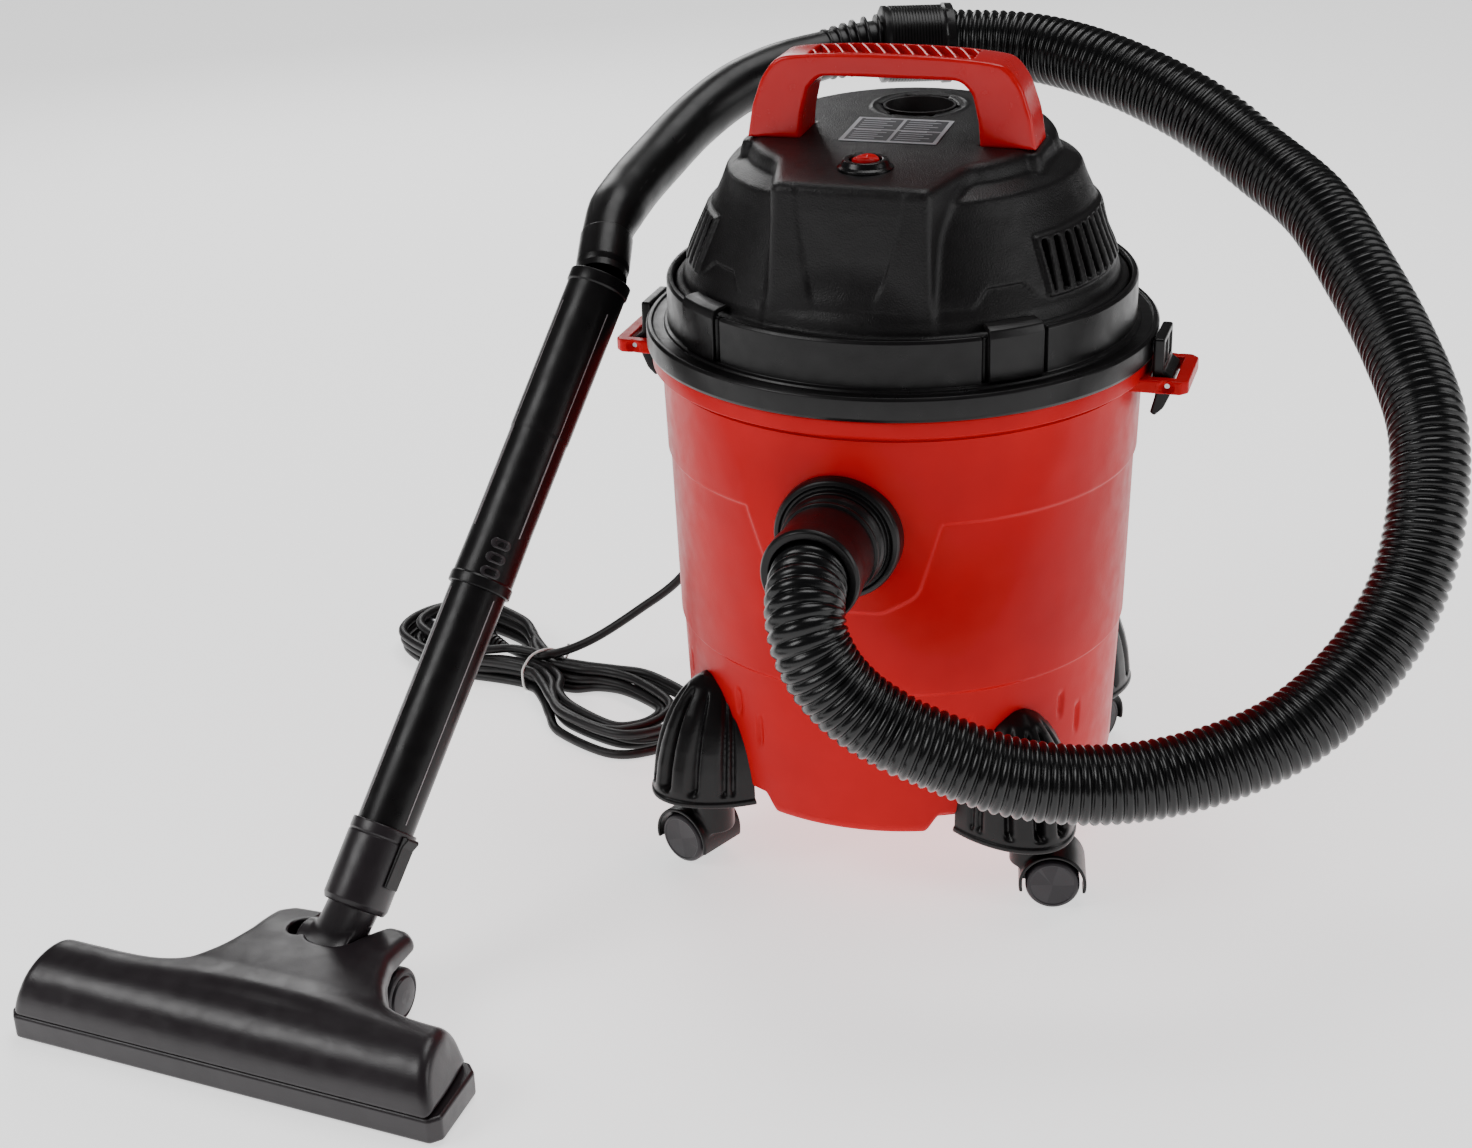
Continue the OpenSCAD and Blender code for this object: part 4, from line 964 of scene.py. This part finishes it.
def prism_piece(name, outline, z0, z1, node, finish, bevel, place, replaces=False, hole=None, segments=3):
    """An outline in x and y carried from z0 to z1, with an optional rectangular hole, and bevelled."""
    outline = np.asarray(outline, float)
    n = len(outline)
    verts = [(px, py, zz) for zz in (z0, z1) for px, py in outline]
    if hole is None:
        faces = [tuple(range(n))[::-1], tuple(range(n, 2 * n))]
    else:
        x0, y0, x1, y1 = hole
        ring = [(x0, y0), (x1, y0), (x1, y1), (x0, y1)]
        verts += [(px, py, zz) for zz in (z0, z1) for px, py in ring]
        m = 2 * n
        pick = [int(np.argmin(np.hypot(outline[:, 0] - px, outline[:, 1] - py))) for px, py in ring]
        faces = []
        for k in range(4):
            i, j = pick[k], pick[(k + 1) % 4]
            run = [i]
            while run[-1] != j:
                run.append((run[-1] + 1) % n)
            faces.append(tuple(run[::-1]) + (m + k, m + (k + 1) % 4))
            faces.append(tuple(v + n for v in run) + (m + 4 + (k + 1) % 4, m + 4 + k))
            faces.append((m + (k + 1) % 4, m + k, m + 4 + k, m + 4 + (k + 1) % 4))
    faces += [(i, (i + 1) % n, n + (i + 1) % n, n + i) for i in range(n)]
    obj = add_piece(name, place(np.array(verts, float)), faces, node, finish, replaces=replaces, sharp=35)
    return bevelled(obj, bevel, segments, 30)


def make_nozzle_base():
    """Sole plate with its suction slot, side facets and two rows of bristle tufts."""
    half = 136.0
    outline = rounded_outline([(-half + 5, 0), (half - 5, 0), (half, 6), (half - 3, 46), (half - 9, 52),
                               (-half + 9, 52), (-half + 3, 46), (-half, 6)], [4, 4, 3, 4, 4, 4, 4, 3], 4)
    prism_piece("nozzle_sole", outline, 1.4, SEAM_Z - 0.5, "nozzle_base", "nozzle_black", 1.8, nozzle_place, True,
                hole=(-118, 15, 118, 33))
    verts, faces = [], []
    for y in (10.0, 40.0):
        for x in np.arange(-117.6, 118, 2.4):
            base = len(verts)
            for zz, k in ((0.25, 1.05), (4.0, 1.0), (7.9, 0.8)):
                for a in np.linspace(0, 2 * math.pi, 7)[:-1]:
                    verts.append((x + 1.05 * k * math.cos(a), y + 1.8 * k * math.sin(a), zz))
            for ring in (0, 6):
                a = base + ring
                faces += [(a + i, a + (i + 1) % 6, a + 6 + (i + 1) % 6, a + 6 + i) for i in range(6)]
            faces.append(tuple(base + i for i in range(6))[::-1])
    add_piece("nozzle_tufts", nozzle_place(np.array(verts)), faces, "nozzle_brushes", "bristle", smooth=False)


def make_nozzle_rollers():
    """Rollers with a stepped outer face, on one axle."""
    for k in (-1, 1):
        prof = rounded_outline([(2.4, -9), (15.2, -9), (16, -8), (16, 5.6), (14.9, 7.4), (13.2, 8.2), (12.6, 7.2),
                                (11.6, 7.2), (11.0, 8.8), (4.0, 9.4), (0.01, 9.4)],
                               [0, .8, .8, 1.5, 1, .8, .4, .4, .8, 2, 0], 3)
        verts, faces = lathe_mesh(prof, 96)
        place = np.stack([k * verts[:, 2] + HUMP + k * 36, verts[:, 0] + PIVOT_BACK, verts[:, 1] + WHEEL_R], 1)
        add_piece(f"roller_{k}", nozzle_place(place), faces if k < 0 else faces[:, ::-1], "nozzle_wheels",
                  "wheel", replaces=k > 0, sharp=40)
    prof = rounded_outline([(0.01, -30), (2.5, -30), (2.5, 30), (0.01, 30)], 0, 1)
    verts, faces = lathe_mesh(prof, 32)
    place = np.stack([verts[:, 2] + HUMP, verts[:, 0] + PIVOT_BACK, verts[:, 1] + WHEEL_R], 1)
    add_piece("roller_axle", nozzle_place(place), faces[:, ::-1], "nozzle_wheels", "steel", replaces=False,
              sharp=40)


def make_neck():
    """Tilting barrel, the tube that rises from it, the wand sleeve and its catch."""
    w = unit(WAND_TOP - WAND_FOOT)
    pivot = nozzle_place(np.array([[HUMP, PIVOT_BACK, PIVOT_Z]]))[0]
    across = turn(np.array([1.0, 0, 0]), NOZZLE_YAW)
    f = Field(pivot - [34, 30, 20], pivot + [34, 34, 36], 0.7)
    x, y, z = f.x, f.y, f.z

    def rod_d(a, axis, r):
        t = (x - a[0]) * axis[0] + (y - a[1]) * axis[1] + (z - a[2]) * axis[2]
        return np.sqrt(np.maximum((x - a[0] - t * axis[0]) ** 2 + (y - a[1] - t * axis[1]) ** 2
                                  + (z - a[2] - t * axis[2]) ** 2, 1e-6)) - r, t

    up = unit(WAND_FOOT + 4 * w - pivot)
    barrel, t = rod_d(pivot, across, 15.9)
    barrel = smax(barrel, np.abs(t) - 16.4, 1.5)
    tube, t2 = rod_d(pivot, up, 14.5)
    tube = smax(smax(tube, -t2, 1), t2 - 33, 0.5)
    pegs, t3 = rod_d(pivot, across, 5)
    d = smin(barrel, tube, 3)
    rib, t4 = rod_d(pivot, up, 15.4)
    q = unit(np.cross(up, across))
    off = (x - pivot[0]) * q[0] + (y - pivot[1]) * q[1] + (z - pivot[2]) * q[2]
    d = smin(d, np.maximum(np.maximum(rib, np.abs(off) - 1.0), np.maximum(-t4, t4 - 24)), 0.8)
    d = smin(d, np.maximum(pegs, np.abs(t3) - 22), 0.5)
    bore, t5 = rod_d(pivot, up, 11.5)
    d = np.maximum(d, -np.maximum(bore, 6 - t5))
    verts, faces = skin(f, d)
    add_piece("neck_barrel", verts, faces, "nozzle_neck", "nozzle_black")
    sleeve = rounded_outline([(14.2, 0.5), (17.2, 0), (18.7, 3.5), (18.7, 40), (18.2, 41), (18.7, 42), (18.7, 48),
                              (16.6, 48), (16.6, 6), (14.2, 5)], [0, 1.5, 1.5, .5, .3, .5, .9, .6, 0, 0], 3)
    turned("neck_sleeve", sleeve, WAND_FOOT, w, "nozzle_neck", "nozzle_black", True, 96, flip=True)
    low, high = box_mm("neck_clip")
    middle = (low + high) / 2
    root = WAND_FOOT + ((middle - WAND_FOOT) @ w) * w
    out = unit(middle - root)
    q = np.cross(w, out)
    side = rounded_outline([(18.5, -15), (20.2, -15), (20.6, 9), (22.6, 13.4), (21.8, 15), (18.5, 15)],
                           [0, 1, 2, 1, .8, 0], 3)
    n = len(side)
    pts = [root + q * s + out * a + w * b for s in (-5.5, 5.5) for a, b in side]
    faces = [tuple(range(n)), tuple(range(n, 2 * n))[::-1]]
    faces += [(i, n + i, n + (i + 1) % n, (i + 1) % n) for i in range(n)]
    bevelled(add_piece("neck_catch", pts, faces, "neck_clip", "black_smooth", sharp=40), 0.8, 3)


make_nozzle_shell()
make_nozzle_base()
make_nozzle_rollers()
make_neck()

# ---------------------------------------------------------------- pods, casters and latches


def make_pods():
    """Shield-shaped leg with a nose ridge, long flutes and a thin foot rim; one shape set at four corners."""
    f = Field((108, -42, 46.5), (176, 42, 127), 0.75)
    x, y, z = f.x, f.y, f.z
    rise = np.clip((z - 48) / 78.0, 0, 1)
    width = 38.6 * (1 - rise ** 2.8) ** 0.62 + 0.4
    reach = np.interp(np.asarray(z), [46, 58, 72, 84, 95, 105, 113, 119, 126],
                      [172, 172, 170, 167, 163, 158, 152.5, 147, 136]).astype(np.float32)
    out = np.maximum(x - 112, 0) / (reach - 112)
    across = np.abs(y) / width
    body = ((across ** 1.9 + out ** 1.9) ** (1 / 1.9) - 1) * 24
    around = np.degrees(np.arctan2(y / width, out))
    fade = smoothstep(z, 55, 60) * (1 - smoothstep(rise, 0.80, 0.93))
    flutes = np.zeros((1, 1, 1), np.float32)
    for centre, broad, deep in ((11, 4.2, 3.4), (36, 3.4, 2.2), (58, 2.2, 1.6), (64, 1.8, 1.4)):
        for k in (-1, 1):
            flutes = np.maximum(flutes, deep * np.exp(-((around - k * centre) / broad) ** 2))
    d = body + flutes * fade
    d = smax(d, 48.4 - z, 1.6)
    rim = smax(np.abs(z - 51.0) - 1.7, body - 0.5, 1)
    d = smin(d, rim, 0.8)
    d = smax(d, z - 124.4, 1.5)
    d = np.maximum(d, 129.5 + (z - 51) * 0.038 - np.sqrt(x * x + y * y))
    a = math.radians(CASTER_TURN)
    bore = np.sqrt((x - CASTER_R * math.cos(a)) ** 2 + (y - CASTER_R * math.sin(a)) ** 2)
    d = np.maximum(d, -np.maximum(bore - 4.05, z - 69))
    verts, faces = skin(f, d)
    for key, angle in POD_ANGLES.items():
        add_piece(f"pod_{key}_skin", turn(verts, angle), faces, f"pod_{key}", "black_smooth")


def caster_place(key, verts):
    a = math.radians(POD_ANGLES[key] + CASTER_TURN)
    return turn(verts, CASTER_YAW[key]) + np.array([CASTER_R * math.cos(a), CASTER_R * math.sin(a), 0])


def make_casters():
    """Twin-wheel casters: hood over both treads, plain bevelled discs."""
    f = Field((-16, -20, 8), (36, 20, 48), 0.6)
    x, y, z = f.x, f.y, f.z
    radius = np.sqrt((x - WHEEL_TRAIL) ** 2 + (z - WHEEL_Z) ** 2)
    hood = smax(radius - 20, np.abs(y) - 17, 1.2)
    neck = smax(np.sqrt(x * x + y * y) - 12.6, np.maximum(z - 46.3, 24 - z), 1.0)
    web = box_d(x, y, z, (3, 0, 32), (11, 9, 7), 3)
    d = smin(smin(hood, neck, 3), web, 3)
    shell = np.maximum(radius - 18, 2.2 - np.abs(y))
    d = smax(d, -shell, 0.8)
    d = smax(d, 11 - z, 0.6)
    nick = box_d(x, y, z, (33, 0, 12), (5, 5, 5), 1)
    d = smax(d, -nick, 0.6)
    d = np.maximum(d, -(np.sqrt((x - WHEEL_TRAIL) ** 2 + (z - WHEEL_Z) ** 2) - 2.55))
    d = np.maximum(d, -np.maximum(np.sqrt(x * x + y * y) - 4.0, 36 - z))
    verts, faces = skin(f, d)
    prof = rounded_outline([(0.01, 4.6), (14.6, 4.6), (16, 5.8), (16, 14.4), (15.0, 15.9), (13.4, 16.5), (12.8, 16.1),
                            (0.01, 16.1)], [0, .8, .8, 1.6, 1, .5, .4, 0], 3)
    wheel, wheel_faces = lathe_mesh(prof, 96)
    for key in POD_ANGLES:
        add_piece(f"hood_{key}", caster_place(key, verts), faces, f"caster_hood_{key}", "black_smooth")
        for side in (-1, 1):
            disc = np.stack([wheel[:, 0] + WHEEL_TRAIL, side * wheel[:, 2], wheel[:, 1] + WHEEL_Z], 1)
            add_piece(f"disc_{key}_{side}", caster_place(key, disc),
                      wheel_faces if side > 0 else wheel_faces[:, ::-1], f"caster_wheels_{key}", "wheel",
                      replaces=side > 0, sharp=40)
        hub, hub_faces = lathe_mesh([(0.01, -5), (2.4, -5), (2.4, 5), (0.01, 5)], 24)
        hub = np.stack([hub[:, 0] + WHEEL_TRAIL, hub[:, 2], hub[:, 1] + WHEEL_Z], 1)
        add_piece(f"axle_{key}", caster_place(key, hub), hub_faces, f"caster_wheels_{key}", "steel",
                  replaces=False, sharp=40)


def make_latches():
    """Moulded over-centre catches: grip block, hinge barrel and a curved finger."""
    f = Field((148, -18, 276), (165, 18, 330), 0.5)
    x, y, z = f.x, f.y, f.z
    block = outline_d(x, z, rounded_outline([(150.7, 327.6), (150.7, 303), (152, 297.2), (162.3, 299), (162.3, 305),
                                             (157, 308.6), (156.9, 327.6)], [1.5, 2, 1.5, 2.5, 2.5, 3, 1.5], 4))
    block = smax(block, np.abs(y) - 16.9, 1.4)
    for k in (-1, 1):
        block = smax(block, -box_d(x, y, z, (157.6, k * 7.6, 317.6), (1.9, 5.6, 6.4), 0.8), 0.5)
    finger = outline_d(x, z, rounded_outline([(153, 301), (151.4, 290), (149.2, 281), (152, 279.2), (156.8, 284),
                                              (160.3, 292), (160.8, 301)], [0, 8, 1.2, 1.2, 6, 6, 0], 4))
    finger = smax(finger, np.abs(y) - 10.9, 1.6)
    finger = smax(finger, -box_d(x, y, z, (160.5, 0, 292), (3.2, 7.5, 12), 1.5), 0.6)
    d = smin(block, finger, 1.2)
    d = np.maximum(d, -(np.sqrt((x - LATCH_PIN[0]) ** 2 + (z - LATCH_PIN[1]) ** 2) - 1.55))
    verts, faces = skin(f, d)
    add_piece("catch_right_skin", verts, faces, "latch_right", "black_smooth")
    add_piece("catch_left_skin", verts * [-1, 1, 1], faces[:, ::-1], "latch_left", "black_smooth")


make_pods()
make_casters()
make_latches()

# ---------------------------------------------------------------- mains lead: free run, tied hank, plug

LEAD_ROUTE = [(-51.6, 146.6, 340), (-56.6, 160.8, 338), (-66, 178, 310), (-78, 183, 270), (-100, 176, 228),
              (-126, 162, 184), (-150, 149, 142), (-172, 138, 106), (-194.7, 129, 74), (-220, 117.5, 54),
              (-247, 105.5, 35.6), (-268, 96, 26), (-285, 88, 23.2)]
LEAD_D = 6.4
ROW_Z = (3.3, 9.6, 15.9)
PLUG_START, PLUG_END, PLUG_Z = 66.0, 104.0, 15.3
HALF_TURNS = 7


def tie_slots():
    """Where each pass of the lead crosses the tie: (offset across the hank, height)."""
    slots = [(0.0, 22.9)]
    for row, offsets in ((2, (13.0, 6.5)), (1, (9.75, 3.25)), (0, (13.0, 6.5))):
        for off in offsets:
            slots += [(off, ROW_Z[row]), (-off, ROW_Z[row])]
    return slots + [(0.0, ROW_Z[0]), (0.0, ROW_Z[2])]


def lobe(start, end, side, reach, half, tilt):
    """Points of one loop: out from the tie at start, round the end of the hank, and back to the tie at end."""
    (y0, z0), (y1, z1) = start, end
    sign = 1 if y0 > y1 or (y0 == y1 and side > 0) else -1
    pts = [(8, y0 * 1.02, z0), (26, y0 + sign * (half * 0.24 - abs(y0) * 0.15), z0)]
    body = [(0.46, 0.74, 0.10), (0.72, 0.98, 0.25)]
    for along_, wide, t in body:
        pts.append((reach * along_, sign * half * wide, z0 + (z1 - z0) * t))
    for a, t in ((60, 0.38), (20, 0.47), (-20, 0.55), (-60, 0.65)):
        turned_by = math.radians(a)
        pts.append((reach + half * (math.cos(turned_by) * 0.98 - 0.02), sign * half * math.sin(turned_by),
                    z0 + (z1 - z0) * t))
    for along_, wide, t in body[::-1]:
        pts.append((reach * along_, -sign * half * wide, z0 + (z1 - z0) * (1 - t * 0.7)))
    pts += [(26, y1 - sign * (half * 0.24 - abs(y1) * 0.15), z1), (8, y1 * 1.02, z1)]
    c, s = math.cos(math.radians(tilt)), math.sin(math.radians(tilt))
    out = []
    for px, py, pz in pts:
        k = smoothstep(px, 10, 70)
        qx, qy = px * c - py * s, px * s + py * c
        out.append((side * (px + k * (qx - px)), py + k * (qy - py), pz))
    return out


def hank_points():
    """The tied hank in its own frame: passes through the tie joined by loops at each end."""
    slots = tie_slots()
    pts = [(-2.0, slots[0][0], slots[0][1])]
    right = [(96, 40.5, 1), (91, 33, -3), (99, 37, 4), (88, 29, -2), (97, 41, -2), (94, 33.5, 2), (86, 25, 0)]
    left = [(92, 34, 2), (96, 39.5, -2), (90, 33, 3), (97, 38, -2), (92, 35, 1), (96, 40, 0), (88, 32.5, -1)]
    for k in range(HALF_TURNS):
        reach, half, tilt = left[k]
        pts += lobe(slots[2 * k], slots[2 * k + 1], -1, reach, half, tilt)
        pts.append((0.0, *slots[2 * k + 1]))
        reach, half, tilt = right[k]
        pts += lobe(slots[2 * k + 1], slots[2 * k + 2], 1, reach, half, tilt)
        pts.append((0.0, *slots[2 * k + 2]))
    last = slots[2 * HALF_TURNS]
    return pts + [(-14, last[0], last[1]), (-32, 0.4, PLUG_Z + 0.3), (-50, 0, PLUG_Z),
                  (-(PLUG_START + 4), 0, PLUG_Z)]


def hank_place(points):
    return turn(np.asarray(points, float), HANK_TURN) + np.array([TIE_AT[0], TIE_AT[1], 0])


def make_plug():
    """Generic round two-pin plug with a ribbed, tapered strain relief."""
    parts = []
    axis_from = hank_place([(-PLUG_START, 0, PLUG_Z)])[0]
    axis = unit(hank_place([(-PLUG_END, 0, PLUG_Z)])[0] - axis_from)
    body = rounded_outline([(0.01, -3), (7.4, -3), (9.0, 0), (13.6, 4), (15, 9), (15, 30), (14.2, 31.5), (14.2, 35.5),
                            (12.8, 38.0), (0.01, 38.0)], [0, 1, 2, 3, 2, .6, .6, 1.6, 1, 0], 4)
    parts.append(turned("plug_body", body, axis_from, axis, "plug", "rubber", True, closed=False, flip=True))
    relief = [(3.4, -24)]
    for k in range(6):
        s, r = -23 + k * 3.6, 4.0 + k * 0.55
        relief += [(r, s), (r, s + 2.1), (r - 0.9, s + 2.4), (r - 0.9, s + 3.3)]
    relief += [(7.2, -1.5), (7.2, 0)]
    parts.append(turned("plug_relief", relief, axis_from, axis, "plug", "rubber", closed=False, sharp=60,
                        flip=True))
    across = np.cross(axis, [0, 0, 1])
    pin = rounded_outline([(2.4, -1), (2.4, 16.4), (1.4, 17.5), (0.01, 17.5)], [0, 1.0, .5, 0], 4)
    for k in (-1, 1):
        parts.append(turned(f"plug_pin_{k}", pin, axis_from + 38 * axis + k * 9.5 * across, axis, "plug", "steel",
                            around=32, closed=False, flip=True))
    return parts


def make_gland():
    """Ribbed rubber gland in the collar, tapering on to the lead."""
    out = unit((math.cos(math.radians(109.4)), math.sin(math.radians(109.4)), 0))
    prof = [(3.25, 0), (5.3, 0), (5.3, 9.0), (8.0, 9.2), (8.2, 11.6), (7.2, 12.4)]
    for k in range(4):
        s, r = 13.0 + k * 3.0, 6.0 - 0.62 * k
        prof += [(r, s), (r, s + 1.7), (r - 0.8, s + 2.0), (r - 0.8, s + 2.7)]
    prof += [(3.6, 25.0), (3.25, 25.2)]
    start = out * 130 + np.array([0, 0, 340])
    turned("gland_ribbed", prof, start, out, "cord_gland", "rubber", True, sharp=60, flip=True)
    boss = rounded_outline([(5.5, 0), (9, 0), (9, 8.6), (8.4, 9), (5.5, 9)], [0, 0, .6, .4, 0], 3)
    turned("gland_boss", boss, start, out, "lid_ring", "black_smooth", flip=True)


def drawn_curve(name, radius, resolution, lines, finish):
    """A round curve object through one or more lines of points."""
    curve = bpy.data.curves.new(name, "CURVE")
    curve.dimensions = "3D"
    curve.bevel_depth = radius * MM
    curve.bevel_resolution = resolution
    curve.use_fill_caps = True
    for line in lines:
        spline = curve.splines.new("POLY")
        spline.points.add(len(line) - 1)
        for point, co in zip(spline.points, line):
            point.co = (*(co * MM), 1)
        spline.use_smooth = True
    obj = bpy.data.objects.new(name, curve)
    bpy.context.scene.collection.objects.link(obj)
    curve.materials.append(M[finish])
    return obj


def make_lead():
    """One cord from the gland to the plug, drawn as a round curve through listed and looped points."""
    hank = hank_place(hank_points())
    line, _ = smooth_route(np.vstack([np.array(LEAD_ROUTE), hank[1:]]), 2.5)
    lead = drawn_curve("mains_lead", LEAD_D / 2, 5, [line], "rubber")
    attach(lead, "drum")
    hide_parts("cord_lead", "cord_hank")
    make_plug() + [make_tie()]


def make_tie():
    """White twist tie pulled round the hank, its ends twisted together on the side."""
    loop = [(0, 18.0, 10), (0, 17.2, 3), (0, 12, 0.9), (0, 0, 0.8), (0, -12, 0.9), (0, -17.2, 3), (0, -18.0, 10),
            (0, -16.6, 18), (0, -9, 25.4), (0, 0, 27.3), (0, 9, 25.2), (0, 16.6, 18), (0, 18.0, 10.4)]
    loop = [(0.16 * p[1] * (p[2] / 27), p[1], p[2]) for p in loop]
    tail = [(1.6, 18.6, 13), (2.4, 20.5, 16), (1.5, 23, 19.5), (0.5, 24, 24)]
    lines = [smooth_route(hank_place(pts), 1.2)[0] for pts in (loop, tail)]
    tie = drawn_curve("hank_tie", 0.9, 3, lines, "white")
    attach(tie, "drum")
    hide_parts("cord_tie")
    return tie


make_gland()
make_lead()

# ---------------------------------------------------------------- stage and light


def make_stage():
    """White sweep that glows softly, dim surroundings and large soft lamps."""
    floor = bpy.data.meshes.new("floor")
    s = 12.0
    floor.from_pydata([(-s, -s, 0), (s, -s, 0), (s, s, 0), (-s, s, 0)], [], [(0, 1, 2, 3)])
    obj = bpy.data.objects.new("floor", floor)
    bpy.context.scene.collection.objects.link(obj)
    obj.location.z = -0.0004
    m = bpy.data.materials.new("floor_paper")
    m.use_nodes = True
    b = m.node_tree.nodes["Principled BSDF"]
    b.inputs["Base Color"].default_value = (0.9, 0.9, 0.9, 1)
    b.inputs["Roughness"].default_value = 0.9
    b.inputs["Specular IOR Level"].default_value = 0.1
    b.inputs["Emission Color"].default_value = (1, 1, 1, 1)
    b.inputs["Emission Strength"].default_value = 1.15
    floor.materials.append(m)
    world = bpy.data.worlds.new("studio")
    bpy.context.scene.world = world
    world.use_nodes = True
    world.node_tree.nodes["Background"].inputs["Color"].default_value = (1, 1, 1, 1)
    world.node_tree.nodes["Background"].inputs["Strength"].default_value = 0.10
    for name, at, aim, size, power in (
        ("key", (-1.5, -1.3, 1.7), (0, 0, 0.25), 1.0, 22),
        ("side", (2.1, -0.2, 0.9), (0, 0, 0.25), 1.1, 12),
        ("top", (0.1, 0.5, 2.3), (0, 0, 0.2), 1.2, 20),
        ("rim", (-1.2, 1.7, 1.2), (0, 0, 0.3), 1.0, 14),
    ):
        data = bpy.data.lights.new(name, "AREA")
        data.size = size
        data.energy = power
        lamp = bpy.data.objects.new(name, data)
        bpy.context.scene.collection.objects.link(lamp)
        lamp.location = at
        lamp.rotation_euler = (Vector(aim) - Vector(at)).to_track_quat("-Z", "Y").to_euler()


make_stage()

bpy.context.view_layer.update()
